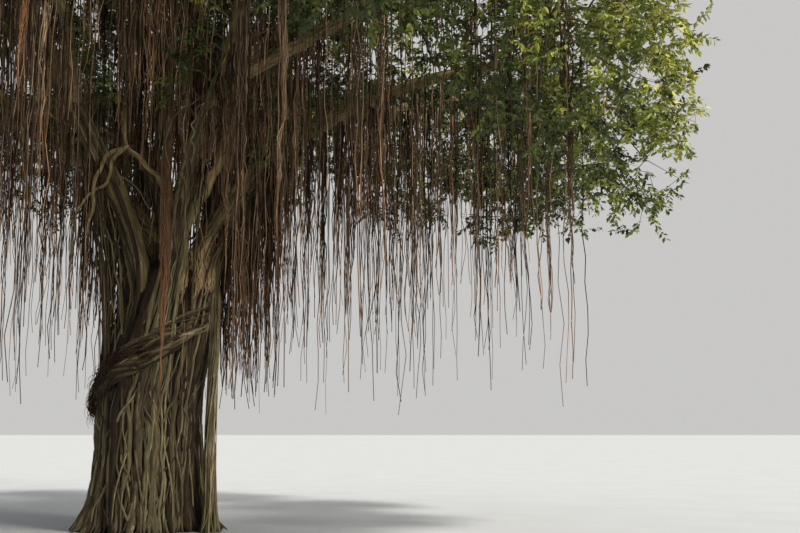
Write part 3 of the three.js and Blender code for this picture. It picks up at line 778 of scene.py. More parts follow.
def girdle_fringe(shape, rng):
    """Hairs that hang from the lower band's left half."""
    count, rings = 260, 9
    s = np.linspace(0, 1, rings)
    angle, top = girdle_place(GIRDLES[0], rng.uniform(0.5, 0.98, count))
    start = on_trunk(angle, top + rng.uniform(-0.05, 0.5, count), rng.uniform(0.04, 0.2, count))
    length = rng.uniform(0.12, 0.42, (count, 1))
    across = round_trunk(angle)
    lines = start[:, None] - (length * s)[..., None] * UP
    bow = rng.uniform(0.02, 0.14, (count, 1)) * np.sin(0.8 * math.pi * s)
    lines += bow[..., None] * outward(angle)[:, None]
    lines += (0.04 * ripple(rng, count, 0.15, 0.5)(lines[..., 2]) * s)[..., None] * across
    radii = rng.uniform(0.004, 0.009, (count, 1)) * lerp(1, 0.35, s)
    add_tubes(shape, lines, radii, 3, across, rng.uniform(0, 1, count), young=0.35)


def arch_roots(shapes, rng):
    """Loose roots that stand off the trunk's foot in loops and go back into it or the ground."""
    count, rings = 26, 24
    s = np.linspace(0, 1, rings)
    first = rng.uniform(0, 2 * math.pi, count)
    first[:10] = np.radians(rng.uniform(-125, -45, 10))
    angle = first[:, None] + rng.uniform(-0.45, 0.45, (count, 1)) * s
    z = rng.uniform(0.7, 2.0, (count, 1)) * (1 - s) ** 0.9
    proud = -0.03 + rng.uniform(0.06, 0.17, (count, 1)) * np.sin(math.pi * s) ** 0.8
    size = rng.uniform(0.010, 0.026, (count, 1)) * np.ones(rings)
    lay_on_trunk(shapes, rng, BARK_SHARES["arch"], on_trunk(angle, z, proud), size, first, rough=0.0)


def cross_roots(shapes, rng):
    """Short roots that slant from one cord of the trunk to another, and fuse with both."""
    count, rings = 70, 16
    s = np.linspace(0, 1, rings)
    middle = rng.uniform(0.4, 4.4, (count, 1))
    length = rng.uniform(0.35, 1.1, (count, 1))
    z = np.maximum(middle - length * (s - 0.5), 0.05)
    slant = rng.choice([-1, 1], count) * rng.uniform(0.1, 0.42, count)
    first = rng.uniform(0, 2 * math.pi, count)
    angle = first[:, None] + slant[:, None] * smoothstep(s, 0, 1) + 0.03 * ripple(rng, count, 0.3, 0.8)(z)
    bow = np.sin(math.pi * s) ** 0.6
    size = rng.uniform(0.012, 0.03, (count, 1)) * (0.5 + 0.5 * bow)
    lines = on_trunk(angle, z, lerp(-0.05, 0.03, bow) + 0.8 * size)
    lay_on_trunk(shapes, rng, BARK_SHARES["cross"], lines, size, first, rough=0.1)


def stray_roots(shapes, rng, limb, count):
    """Crooked roots that leave a bough, stand off it in a bend and come back to it lower down."""
    rings = 26
    s = np.linspace(0, 1, rings)
    top = rng.uniform(0.2, 0.5, count)
    low = np.maximum(top - rng.uniform(0.08, 0.2, count), 0.07)
    t = lerp(top[:, None], low[:, None], s)
    turn = rng.choice([-1, 1], count)[:, None] * rng.uniform(0.8, 2.0, (count, 1)) + 0.6 * s
    bow = np.sin(math.pi * s) ** 0.7
    stand = rng.uniform(0.12, 0.5, (count, 1)) * bow
    lines = limb.on_skin(t, turn, stand - 0.02)
    for axis in range(3):
        lines[..., axis] += 0.07 * bow * ripple(rng, count, 0.25, 0.6)(s)
    size = rng.uniform(0.012, 0.032, (count, 1)) * (0.7 + 0.3 * bow)
    deal_tubes(shapes, rng, BARK_SHARES["stray"], lines, size, 6, limb.side, rough=0.1)


def cords_in_painted_sun(shape, rng):
    """Rough cords where the trunk passes into the east bough's front, paler and warmer than the rest: painted
    sunlight, a patch of sun that is palest in the middle."""
    count, rings = 110, 14
    heading, spread = -37, 22
    s = np.linspace(0, 1, rings)
    wave = ripple(rng, count, 0.6, 1.6)(s)
    aside = rng.normal(0, 0.5, count)
    angle = np.radians(heading + spread * aside)[:, None] + 0.03 * wave
    z = rng.uniform(4.75, 5.45, (count, 1)) - rng.uniform(0.2, 0.55, (count, 1)) * s
    proud = rng.uniform(0.01, 0.07, (count, 1))
    upright = 0.4 * smoothstep(z, TRUNK["height"] - 0.5, TRUNK["height"])
    t = rng.uniform(0.05, 0.15, (count, 1)) - rng.uniform(0.04, 0.09, (count, 1)) * s
    turn = (0.4 * aside - 1.5)[:, None] + 0.08 * wave
    size = rng.uniform(0.007, 0.021, (count, 1)) * np.sin(math.pi * lerp(0.06, 0.94, s)) ** 0.7
    on_bough = bough_named["bough_east"].on_skin(np.maximum(t, 0), turn, proud - 0.02)
    for lines in (on_trunk(angle, z, proud + upright), on_bough):
        # Their high tone and warm tint are painted sunlight, palest in the middle
        tone = rng.uniform(0.95, 1.75, count) - 0.6 * np.abs(aside)
        add_tubes(shape, lines, size, 5, tone=tone, young=0.45, rough=0.2)


# Crooked branches at the fork, each with its radius at the foot. One leans right before the middle bough,
# one crosses from there to the left, and two droop from where that one bends
CROOKED = [
    (0.125, [
        (0.3, -0.62, 5.3), (0.76, -1.02, 6.05), (1.17, -1.12, 6.74), (1.36, -1.0, 7.5), (1.5, -0.6, 8.4)]),
    (0.062, [
        (0.62, -0.95, 5.8), (0.36, -1.08, 6.3), (0.0, -1.2, 6.78), (-0.5, -1.3, 7.2), (-0.6, -1.3, 7.9)]),
    (0.045, [
        (-0.45, -1.3, 7.22), (-0.8, -1.42, 7.05), (-1.0, -1.5, 6.6), (-1.02, -1.5, 6.05),
        (-1.12, -1.48, 5.5)]),
    (0.036, [
        (-0.5, -1.3, 7.2), (-0.72, -1.4, 6.95), (-0.76, -1.44, 6.5), (-1.1, -1.5, 6.25),
        (-1.4, -1.52, 5.8)]),
]


def make_crooked_branches():
    shape, rng = Shape(), np.random.default_rng(SEEDS["crooked"])
    rings, smoothings = 40, 6
    s = np.linspace(0, 1, rings)
    for radius, points in CROOKED:
        knots = np.linspace(0, 1, len(points))
        line = np.stack([np.interp(s, knots, axis) for axis in zip(*points)], axis=-1)
        for _ in range(smoothings):
            line[1:-1] = (line[:-2] + 2 * line[1:-1] + line[2:]) / 4
        for axis in range(3):
            line[:, axis] += 0.03 * np.sin(math.pi * s) * ripple(rng, 1, 0.15, 0.4)(s)[0]
        radii = radius * lerp(1, 0.55, s) * (1 + 0.12 * ripple(rng, 1, 0.1, 0.3)(s)[0])
        add_tubes(shape, line[None], radii[None], 9, SIDEWAYS, tone=0.75, rough=0.1)
    shape.make("crooked_branches", limb_bark, "bark")


# The layers of roots on the trunk's face, inner one first: their shares of pale, brown and dark bark, the
# heights that they start from, their radii, how far they drift round the trunk in radians, and how far their
# middles stand off it, as a share of their radius and a length
FACE_LAYERS = [
    {"count": 46, "shares": (0.15, 0.5, 0.35), "tops": (3.8, 5.2), "sizes": (0.034, 0.085),
     "drift": (0.02, 0.12), "stand": (0.3, 0)},
    {"count": 34, "shares": (0.4, 0.45, 0.15), "tops": (2.2, 5.0), "sizes": (0.016, 0.045),
     "drift": (0.04, 0.18), "stand": (0.8, 0.01)},
    {"count": 30, "shares": (0.5, 0.4, 0.1), "tops": (1.2, 4.6), "sizes": (0.008, 0.017),
     "drift": (0.1, 0.5), "stand": (0.9, 0.04)},
]


def make_trunk():
    """The trunk: a core dark with painted shade, three layers of fused roots on it, and what wraps and hangs
    round those.
    """
    rng = np.random.default_rng(SEEDS["trunk"])
    trunk_core().make("trunk_core", dark_bark, "bark", ["trunk"])
    kinds = {"pale": pale_bark, "brown": brown_bark, "dark": dark_bark}
    shapes = [Shape() for _ in kinds]
    for layer in FACE_LAYERS:
        face_roots(shapes, rng, **layer)
    cross_roots(shapes, rng)
    for limb in (leader, *boughs):
        limb_roots(shapes, rng, limb, count=10, start_range=(0.16, 0.5), size_range=(0.014, 0.048))
        fork_veil(shapes, rng, limb, count=11)
        stray_roots(shapes, rng, limb, count=5)
    left_veil(shapes, rng, count=26)
    girdle_roots(shapes, rng)
    girdle_hairs(shapes[2], rng)
    girdle_fringe(shapes[2], rng)
    arch_roots(shapes, rng)
    cords_in_painted_sun(shapes[0], rng)
    for shape, (kind, material) in zip(shapes, kinds.items()):
        shape.make(f"trunk_roots_{kind}", material, "bark")


def make_pillar():
    """The pillar root: a handful of roots twisted into one column that spreads at the ground."""
    rng = np.random.default_rng(SEEDS["pillar"])
    shapes = [Shape(), Shape()]
    rings = 56
    s = np.linspace(0, 1, rings)
    foot, top = np.array([*PILLAR["foot"], 0.0]), np.array(PILLAR["top"])
    sway = 0.035 * np.sin(5 * s + 1000 * foot[1]) * np.sin(math.pi * s)
    axis = lerp(foot, top, s[:, None]) + np.stack([sway, 0 * s, 0 * s], axis=-1)
    pale_share = 0.65
    thick, thin = (9, 0.5, (0.030, 0.050)), (12, 0.95, (0.008, 0.018))
    for strands, spread, size_range in (thick, thin):
        reach = PILLAR["radius"] * (1 - 0.35 * s) * spread + 0.1 * np.exp(-axis[:, 2] / 0.3)
        turn = full_turn(strands)[:, None] + 2.6 * s + 0.7 * ripple(rng, strands, 0.3, 0.9)(s)
        size = rng.uniform(*size_range, (strands, 1)) * (1 - 0.3 * s)
        lines = axis + reach[:, None] * outward(turn)
        shares = (pale_share, 1 - pale_share)
        # A painted shade below 0 paints light on the pillar: painted sunlight that makes it paler
        deal_tubes(shapes, rng, shares, lines, size, 7, SIDEWAYS, painted_shade=-0.3, floor=0.0, rough=ROUGH_BARK)
    shapes[0].make("pillar_root_pale_strands", pale_bark, "bark", ["pillar_root"])
    shapes[1].make("pillar_root_brown_strands", brown_bark, "bark")


# Limb bark


def limb_piece(limb, seed):
    """A limb as one skin with lumps, ridges that fade from its foot, and a swollen foot."""
    shape = Shape()
    length, ring_step = limb.length(), 0.085
    rings, sides = int(length / ring_step), 22 if limb.radii[0] > THICK_LIMB else 16
    t = np.linspace(0, 1, rings)[:, None]
    turn = full_turn(sides)
    radius = limb.radius(t)
    skin = limb.on_skin(t, turn)
    ridges = np.sin(5 * turn + 2.2 * np.sin(3.1 * t + seed)) * (1 - 0.7 * t)
    knotty = 1 + 1.2 * np.exp(-t * length / 0.9)
    relief = 0.05 * lumps(skin, seed, 0.5) + 0.035 * knotty * lumps(skin, seed + 1, 0.16) + 0.05 * ridges
    collar = 0.35 * np.exp(-t * length / 0.16) if limb in (*side_limbs, *top_limbs) else 0
    skin = limb.on_skin(t, turn, radius * (relief + collar))
    grain = np.stack(np.broadcast_arrays(radius * np.sin(turn), radius * np.cos(turn), t * length), axis=-1)
    # The bark is paler towards each limb's foot: a painted highlight, as of sun on the limbs' feet
    tone = 0.5 + 0.5 * np.exp(-t * length / 1.2)
    index = np.arange(rings * sides).reshape(rings, sides)
    faces = [quads_between(index)[:, [0, 3, 2, 1]], index[:1], index[-1:, ::-1]]
    shape.add(skin.reshape(-1, 3), faces, grain.reshape(-1, 3) + seed, tone=np.repeat(tone, sides))
    skin_roots(shape, limb, seed)
    shape.make(f"{limb.name}_bark", limb_bark, "bark", [limb.name])


def skin_roots(shape, limb, seed):
    """Slim roots that creep along a limb's skin."""
    rng = np.random.default_rng(SEEDS["skin_roots"] + seed)
    count, rings = 10 if limb.radii[0] > THICK_LIMB else 4, 34
    start = rng.uniform(0.05, 0.45, (count, 1))
    t = start + rng.uniform(0.25, 0.5, (count, 1)) * np.linspace(0, 1, rings)
    t = np.minimum(t, 0.97)
    turn = rng.uniform(-math.pi, math.pi, (count, 1)) + 0.7 * ripple(rng, count, 0.15, 0.5)(t)
    size = rng.uniform(0.008, 0.02, (count, 1)) * np.sin(math.pi * np.linspace(0.08, 0.92, rings)) ** 0.5
    lines = limb.on_skin(t, turn, 0.3 * size)
    add_tubes(shape, lines, size, 6, tone=rng.uniform(0.4, 1, count))


# Foliage


class Mass:
    """A mass of foliage at the end of a limb: an ellipsoid that stops half way to each neighbour."""

    def __init__(self, name, limb, centre, radii):
        self.name, self.limb = name, limb
        self.centre, self.radii = np.array(centre, dtype=float), np.array(radii, dtype=float)


def beyond_tip(limb, reach, height):
    """The point at a height that is some reach out from the middle, on the way of a limb's tip."""
    return unit(limb.at(1.0) * [1, 1, 0]) * reach + height * UP


def rim_mass(limb):
    high = (limb.at(1.0)[2] - RIM["height"]) / RIM["lift"]
    centre = beyond_tip(limb, RIM["reach"] + RIM_MASS["beyond"], lerp(*RIM_MASS["heights"], high))
    radius, half_height = RIM_MASS["radius"], lerp(*RIM_MASS["half_heights"], high)
    name = limb.name.replace("side_limb", "side_foliage").replace("bough", "foliage")
    return Mass(name, limb, centre, (radius, radius, half_height))


def top_mass(limb):
    centre = beyond_tip(limb, TOP_RING["reach"] + TOP_MASS["beyond"], TOP_MASS["height"])
    return Mass(limb.name.replace("limb", "foliage"), limb, centre, TOP_MASS["radii"])


masses = [
    Mass("crown_foliage", leader, CROWN_MASS["centre"], CROWN_MASS["radii"]),
    *(rim_mass(limb) for limb in (*boughs, *side_limbs)), *(top_mass(limb) for limb in top_limbs),
]


def has_room(mass, points, margin):
    """Which points lie in a mass's own space, and inside the frame's box."""
    inside = np.linalg.norm((points - mass.centre) / mass.radii, axis=-1) < 1
    inside &= np.all((points > CAD_LOW + margin) & (points < CAD_HIGH - margin), axis=-1)
    for other in masses:
        if other is not mass:
            middle = (mass.centre + other.centre) / 2
            inside &= (points - middle) @ unit(other.centre - mass.centre) < -margin
    return inside


def main_targets(mass, index):
    """The points that the part's own twigs reach for."""
    draw = stream(SEEDS["main_twigs"] + index)
    turn = math.pi * (3 - math.sqrt(5))
    targets = []
    for i in range(TWIGS["main"]):
        height = 1 - 2 * (i + 0.5) / TWIGS["main"]
        level = math.sqrt(1 - height * height)
        depth = lerp(0.42, 0.66, draw())
        angle = turn * i + 0.5 * draw()
        away = np.array([level * math.cos(angle), level * math.sin(angle), height])
        targets.append(mass.centre + depth * away * mass.radii)
    return np.array(targets)


def fine_targets(mass, rng):
    """Points for the finer twigs: thick towards the outside, in clumps with gaps between them."""
    points = unit(rng.normal(size=(5 * TWIGS["fine"], 3)))
    points *= lerp(0.3, 0.9, rng.uniform(0, 1, (len(points), 1)) ** 0.6)
    points = mass.centre + points * mass.radii
    clumped = lumps(points, seed=77, size=1.5) + rng.normal(0, 0.35, len(points)) > -0.5
    underside = UNDERSIDE["height"] + UNDERSIDE["ragged"] * lumps(points, seed=78, size=2.2)
    clumped &= points[:, 2] > underside
    return points[clumped & has_room(mass, points, 0.08)][:TWIGS["fine"]]


def grow(mass, index):
    """Twigs by the part's rule: each target joins the grown point that is nearest, counting some of the
    way from there back to the heart. Gives the points, and each one's parent and load."""
    rng = np.random.default_rng(SEEDS["fine_twigs"] + index)
    limb = mass.limb
    travel = limb.frames(np.array([1.0]))[0][0]
    start = limb.at(1.0)
    shoulder = start + STEM_SHOULDER * travel
    heart = lerp(shoulder, mass.centre, STEM_REACH)
    main, fine = main_targets(mass, index), fine_targets(mass, rng)
    main = main[np.argsort(np.linalg.norm(main - heart, axis=1), kind="stable")]
    fine = fine[np.argsort(np.linalg.norm(fine - heart, axis=1), kind="stable")]
    points = np.concatenate([[start, shoulder, heart], main, fine])
    parents = np.zeros(len(points), dtype=int)
    parents[2] = 1
    lengths = np.zeros(len(points))
    for i in range(3, len(points)):
        away = np.linalg.norm(points[2:i] - points[i], axis=1)
        parents[i] = 2 + np.argmin(away + TWIGS["detour"] * lengths[2:i])
        lengths[i] = lengths[parents[i]] + np.linalg.norm(points[i] - points[parents[i]])
    loads = np.zeros(len(points))
    for i in range(len(points) - 1, 0, -1):
        loads[parents[i]] += 1 + loads[i]
    return points, parents, loads


def twig_lines(points, parents, radii, rng):
    """A gently bowed line from each point's parent to it, with radii."""
    start, end = points[parents[1:]], points[1:]
    s = np.array([0, 0.35, 0.7, 1.0])[:, None]
    lines = lerp(start[:, None], end[:, None], s)
    reach = np.linalg.norm(end - start, axis=1)[:, None, None]
    bow = rng.normal(0, 0.07, (len(end), 1, 3)) + 0.05 * UP
    lines += bow * reach * np.sin(math.pi * s)
    first = np.minimum(radii[parents[1:]], radii[1:] * 1.5)
    return lines, lerp(first[:, None], radii[1:, None], s[:, 0])


def sprays_on(lines, rng, each, length):
    """Twiglets that leave lines at seeded places: their start, heading and length."""
    count, rings = lines.shape[:2]
    place = rng.uniform(0.35, 1.0, (count, each)) * (rings - 1)
    place[:, 0] = rings - 1
    low = np.minimum(place.astype(int), rings - 2)
    rows = np.arange(count)[:, None]
    start = lerp(lines[rows, low], lines[rows, low + 1], (place - low)[..., None])
    travel = unit(lines[:, -1] - lines[:, 0])[:, None]
    heading = unit(0.8 * travel + unit(rng.normal(size=start.shape)) * 0.9 - 0.12 * UP)
    reach = length * rng.uniform(0.6, 1.25, (count, each))
    return start.reshape(-1, 3), heading.reshape(-1, 3), reach.ravel()


def leaves_on(start, heading, reach, rng):
    """Leaves along twiglets, in two drooping rows: their roots, headings, directions across and lengths."""
    count, each = len(start), LEAF["each"]
    place = (np.arange(each) + rng.uniform(0.2, 0.8, (count, each))) / each
    side = unit(np.cross(heading, unit(UP + 0.35 * rng.normal(size=(count, 3)))))
    flip = np.where(np.arange(each) % 2, 1.0, -1.0)
    root = start[:, None] + (place * reach[:, None])[..., None] * heading[:, None]
    lean = 0.55 * heading[:, None] + flip[:, None] * side[:, None] - 0.35 * UP
    lean = unit(lean + 0.35 * rng.normal(size=root.shape))
    face = unit(UP + 0.45 * rng.normal(size=root.shape))
    across = unit(np.cross(face, lean))
    size = LEAF["length"] * rng.uniform(0.7, 1.2, (count, each))
    return (array.reshape(-1, array.shape[-1]) for array in (root, lean, across, size[..., None]))


# A leaf's corners: along it in lengths, across it in half widths, and up in lengths
OVAL_LEAF = np.array([
    [0.0, 0.0, 0.0], [0.38, 0.92, 0.05], [0.74, 0.74, 0.03], [1.12, 0.0, -0.1], [0.74, -0.74, 0.03],
    [0.38, -0.92, 0.05],
])
OVAL_HALVES = np.array([[0, 3, 2, 1], [0, 5, 4, 3]])
NARROW_LEAF = np.array([[0.0, 0.0, 0.0], [0.55, 1.0, 0.05], [1.12, 0.0, -0.1], [0.55, -1.0, 0.05]])
NARROW_HALVES = np.array([[0, 2, 1], [0, 3, 2]])


def add_copies(shape, points, faces, **looks):
    """Many small shapes with the same faces; points is copies x corners x 3."""
    index = points.shape[1] * np.arange(len(points))[:, None, None]
    shape.add(points.reshape(-1, 3), [(index + faces).reshape(-1, faces.shape[1])], **looks)


def add_leaves(shape, outline, halves, root, heading, width, size, tone):
    """Folded leaves of two faces each, which taper to their roots on the twig."""
    face = np.cross(heading, width)
    along, across, above = outline.T
    half = LEAF["half_width"] / LEAF["length"]
    points = root[:, None] + size[:, None] * (
        along[:, None] * heading[:, None]
        + (across * half)[:, None] * width[:, None]
        + above[:, None] * face[:, None])
    add_copies(shape, points, halves, tone=np.repeat(tone, len(outline)))


leaf_shapes = [Shape() for _ in LEAF_KINDS]
# The light from which each paler kind of leaf starts, how much it differs among neighbours, and the light on
# shoots
LIGHT_STEPS = [0.26, 0.44, 0.6, 0.76]
LIGHT_SPREAD = 0.13
SHOOT_LIGHT = 0.3
# What a spray's light is made of: a base, which way it lies in its mass, its place in the crown, and how near
# it is to the outside
LIGHT = {"base": 0.37, "facing": 0.30, "place": 0.16, "outside": 0.12}
SUNWARD = unit(np.array([0.62, -0.42, 0.72]))


def deal_leaves(start, heading, reach, rng, light):
    """Gives each spray one of the leaf colours: the more light it has, the paler. The three darkest
    kinds, which lie deeper in the crown, have the plainer outline."""
    kinds = np.digitize(light + rng.normal(0, LIGHT_SPREAD, len(start)), LIGHT_STEPS)
    tones = rng.uniform(0.2, 0.8, len(start))
    for kind, shape in enumerate(leaf_shapes):
        mine = kinds == kind
        if mine.any():
            outline, halves = (NARROW_LEAF, NARROW_HALVES) if kind < 3 else (OVAL_LEAF, OVAL_HALVES)
            leaves = leaves_on(start[mine], heading[mine], reach[mine], rng)
            add_leaves(shape, outline, halves, *leaves, np.repeat(tones[mine], LEAF["each"]))


def light_at(points, mass):
    """How much sun reaches a spray: more on top, at the outside and towards the right front."""
    out = (points - mass.centre) / mass.radii
    place = points @ (SUNWARD * [1, 1, 0]) / RIM["reach"]
    facing, outside = out @ SUNWARD, np.linalg.norm(out, axis=1) - 0.6
    return LIGHT["base"] + LIGHT["facing"] * facing + LIGHT["place"] * place + LIGHT["outside"] * outside


def make_foliage():
    """Twigs and leaves of every mass. Gives the places on each rim mass's twigs that roots can hang from."""
    twig_shape, carriers = Shape(), {}
    for index, mass in enumerate(masses):
        rng = np.random.default_rng(SEEDS["foliage"] + index)
        points, parents, loads = grow(mass, index)
        radii = TWIGS["tip_radius"] * (1 + loads) ** TWIGS["thicken"]
        radii[0] = mass.limb.radii[1]
        radii[1] = 0.85 * radii[0]
        lines, sizes = twig_lines(points, parents, radii, rng)
        thick = sizes[:, 0] > TWIGS["thick"]
        add_tubes(twig_shape, lines[thick], sizes[thick], 6, tone=0.5)
        add_tubes(twig_shape, lines[~thick][:, ::3], sizes[~thick][:, ::3], 3, tone=0.6)
        grown = lines[2 + TWIGS["main"]:]
        start, heading, reach = sprays_on(grown, rng, TWIGLETS["each"], TWIGLETS["length"])
        add_twiglets(twig_shape, start, heading, reach)
        deal_leaves(start, heading, reach, rng, light_at(start, mass))
        if mass.limb in (*boughs, *side_limbs):
            near = np.linalg.norm(points[:, :2], axis=1) < RIM["reach"] + ROOTS_BEYOND
            carriers[mass.limb.name] = points[near & (radii > TWIGS["thick"])]
    twig_shape.make("crown_twigs", twig_bark, "foliage", [mass.name for mass in masses])
    return carriers


def add_twiglets(shape, start, heading, reach):
    """Three-sided spikes that carry the leaves."""
    across = unit(np.cross(heading, unit(UP + [0.31, 0.17, 0])))
    above = np.cross(heading, across)
    foot = start[:, None] + TWIGLETS["radius"] * spokes(across, above, 3)
    tip = start + heading * reach[:, None]
    faces = np.array([[0, 2, 1], [0, 1, 3], [1, 2, 3], [2, 0, 3]])
    add_copies(shape, np.concatenate([foot, tip[:, None]], axis=1), faces, tone=0.7, young=0.6)


# Shoots and hanging roots

SHOOT_STEP = 0.3


def limb_shoots(limb, rng):
    """Slim side branches along a limb: lines that leave it to either side and rise a little."""
    count = int(limb.length() / SHOOT_STEP)
    t = (np.arange(count) + rng.uniform(0.2, 0.8, count)) / count * 0.66 + 0.3
    turn = np.where(np.arange(count) % 2, 1, -1) * rng.uniform(1.2, 2.2, count)
    start = limb.on_skin(t, turn, -0.02)
    travel, across, _ = limb.frames(t)
    out = unit(np.sin(turn)[:, None] * across + 0.5 * travel + rng.uniform(-0.1, 0.5, (count, 1)) * UP)
    reach = rng.uniform(0.5, 1.25, count) * lerp(0.8, 1.5, t)
    s = np.linspace(0, 1, 7)
    way = reach[:, None] * s
    lines = start[:, None] + way[..., None] * out[:, None]
    lines[..., 2] += 0.05 * ripple(rng, count, 0.4, 0.9)(way) - 0.12 * reach[:, None] * s ** 2
    lines[..., 0] += 0.05 * ripple(rng, count, 0.4, 0.9)(way) * s
    radii = rng.uniform(0.014, 0.026, (count, 1)) * lerp(1, 0.35, s)
    return lines, radii


def between_rings(axis, ring):
    """Points on a line at ring numbers, which may lie between two rings."""
    low = np.minimum(ring.astype(int), len(axis) - 2)
    return lerp(axis[low], axis[low + 1], (ring - low)[..., None])


def hang_lines(tops, lengths, rings, sway, rng):
    """Roots that hang from their tops, nearly plumb, with slow bends and small kinks."""
    s = np.linspace(0, 1, rings)
    drop = lengths[:, None] * s
    lines = tops[:, None] - drop[..., None] * UP
    for axis in (0, 1):
        slow = ripple(rng, len(tops), 1.2, 3.5)(drop)
        quick = ripple(rng, len(tops), 0.45, 1.1)(drop)
        lines[..., axis] += np.minimum(drop / 0.8, 1) * (sway[:, None] * slow + 0.024 * quick)
    return lines


def add_singles(shape, tops, lengths, rng, size_range):
    """Single hanging roots."""
    count, rings = len(tops), 12
    lines = hang_lines(tops, lengths, rings, rng.uniform(0.02, 0.09, count), rng)
    s = np.linspace(0, 1, rings)
    radii = rng.uniform(*size_range, (count, 1)) * lerp(1, 0.55, s)
    young = smoothstep(s, 0.6, 1.0) * rng.uniform(0, 0.9, (count, 1))
    add_tubes(shape, lines, radii, 3, SIDEWAYS, rng.uniform(-0.25, 1.25, count), young)


def add_bundle(shape, top, length, radius, strands, rng, redness):
    """A bundle of roots that wind round one another and draw together to a tufted point."""
    rings = max(12, int(length / 0.25))
    s = np.linspace(0, 1, rings)
    axis = hang_lines(top[None], np.array([length]), rings, np.array([0.03]), rng)[0]
    swell = (0.35 + 0.65 * smoothstep(s, 0, 0.18)) * (1 - 0.8 * smoothstep(s, 0.5, 1.0))
    swell *= 1 + 0.22 * np.sin(2 * math.pi * (s * length / rng.uniform(0.7, 1.5) + rng.uniform()))
    turn = rng.uniform(0, 2 * math.pi, (strands, 1)) + rng.uniform(-1.6, 1.6) * length * s
    turn = turn + 0.9 * ripple(rng, strands, 0.3, 1.0)(s * length)
    away = radius * rng.uniform(0.2, 1, (strands, 1)) * swell
    ring = s * rng.uniform(0.45, 1, (strands, 1)) * (rings - 1)
    lines = between_rings(axis, ring) + away[..., None] * outward(turn)
    size = rng.uniform(0.006, 0.014, (strands, 1)) * lerp(1, 0.4, s ** 2)
    young = smoothstep(s, 0.45, 1.0) * rng.uniform(0, 1, (strands, 1)) * redness
    tones = rng.uniform(-0.1, 0.75) + rng.uniform(-0.45, 0.6, strands)
    add_tubes(shape, lines, size, 3, SIDEWAYS, tones, young)


ROOT_KINDS = {"dark": dark_root, "brown": brown_root, "red": red_root}
bundle_shapes = [Shape() for _ in ROOT_KINDS]
single_shapes = [Shape(), Shape()]
# Shares of the three kinds among the bundles, a bundle's radius, and the radii of single roots by what
# carries them
BUNDLE_SHARES = (0.3, 0.45, 0.25)
BUNDLE_RADIUS = (0.05, 0.13)
SINGLE_RADII = {"limb": (0.008, 0.018), "twig": (0.008, 0.016), "shoot": (0.007, 0.013)}


def above_fork(tops, lengths, rng):
    """Lengths of hanging roots, cut short for most of those that hang before the fork."""
    view_x, view_y, _ = CAMERA_PLACE
    seen = view_x + (tops[:, 0] - view_x) * view_y / (view_y - tops[:, 1])
    before = (seen > FORK_VIEW["left"]) & (seen < FORK_VIEW["right"]) & (tops[:, 1] < FORK_VIEW["front"])
    before &= rng.uniform(0, 1, len(tops)) > FORK_VIEW["kept"]
    low = FORK_VIEW["low"] + FORK_VIEW["ragged"] * rng.uniform(0, 1, len(tops)) ** 1.5
    return np.where(before, np.minimum(lengths, np.maximum(tops[:, 2] - low, 0.3)), lengths)


def heights_to_hang(tops, rng):
    """How far roots can hang from their tops: to the lowest that roots reach there, give or take."""
    uneven = 0.45 * lumps(tops * [1, 1, 0], seed=79, size=2.5)
    low = ROOT_LOW + uneven + 1.3 * rng.uniform(0, 1, len(tops)) ** 2.5
    return tops[:, 2] - np.maximum(low, ROOT_LOW - 0.3)


def deal_bundles(tops, lengths, rng):
    """Bundles of every thickness, each in one of the three colours."""
    for top, length in zip(tops, above_fork(tops, lengths, rng)):
        shape = bundle_shapes[rng.choice(len(bundle_shapes), p=BUNDLE_SHARES)]
        radius = rng.uniform(*BUNDLE_RADIUS)
        strands = 5 + int(60 * radius)
        add_bundle(shape, top, length, radius, strands, rng, redness=rng.uniform(0.2, 1.0))


def deal_singles(tops, lengths, rng, size_range):
    """Single roots, half of them dark and half brown."""
    lengths = above_fork(tops, lengths, rng)
    dark = rng.uniform(0, 1, len(tops)) < 0.5
    for shape, mine in zip(single_shapes, (dark, ~dark)):
        add_singles(shape, tops[mine], lengths[mine], rng, size_range)


def hang_from_limb(limb, rng, stretch, bundles, singles, drop):
    """Bundles and single roots from the underside of a stretch of a limb."""
    t = lerp(*stretch, (np.arange(bundles) + rng.uniform(0, 1, bundles)) / bundles)
    tops = limb.on_skin(t, rng.uniform(-1.0, 1.0, bundles), -0.03)
    deal_bundles(tops, heights_to_hang(tops, rng) * rng.uniform(*drop, bundles), rng)
    t = rng.uniform(*stretch, singles)
    tops = limb.on_skin(t, rng.uniform(-1.3, 1.3, singles), -0.01)
    lengths = heights_to_hang(tops, rng) * lerp(drop[0], 1, rng.uniform(0, 1, singles) ** 1.4)
    deal_singles(tops, lengths, rng, SINGLE_RADII["limb"])


def hang_from_twigs(tops, rng, bundles, singles):
    """Bundles and single roots from twigs of the crown, drawn from the places where those are thick."""
    chosen = tops[rng.permutation(len(tops))[:bundles + singles]]
    lengths = heights_to_hang(chosen, rng) * rng.uniform(0.4, 1, len(chosen)) ** 1.3
    deal_bundles(chosen[:bundles], lengths[:bundles], rng)
    deal_singles(chosen[bundles:], lengths[bundles:], rng, SINGLE_RADII["twig"])


# Hanging roots for each kind of limb: a stretch of it, and how many bundles and single roots hang there. A
# limb is of the first kind that its name starts with
HANGING = {
    "leader": ((0.22, 0.95), 7, 30), "bough_west": ((0.3, 0.97), 4, 26),
    "bough_southwest": ((0.15, 0.97), 6, 28), "bough_southeast": ((0.2, 0.62), 11, 60),
    "bough": ((0.22, 0.97), 12, 60), "side_limb_west": ((0.22, 0.97), 4, 26),
    "side_limb_southwest": ((0.22, 0.97), 4, 24), "side_limb_southeast": ((0.22, 0.97), 4, 30),
    "side_limb": ((0.22, 0.97), 7, 50), "top_limb": ((0.08, 0.95), 17, 56),
}
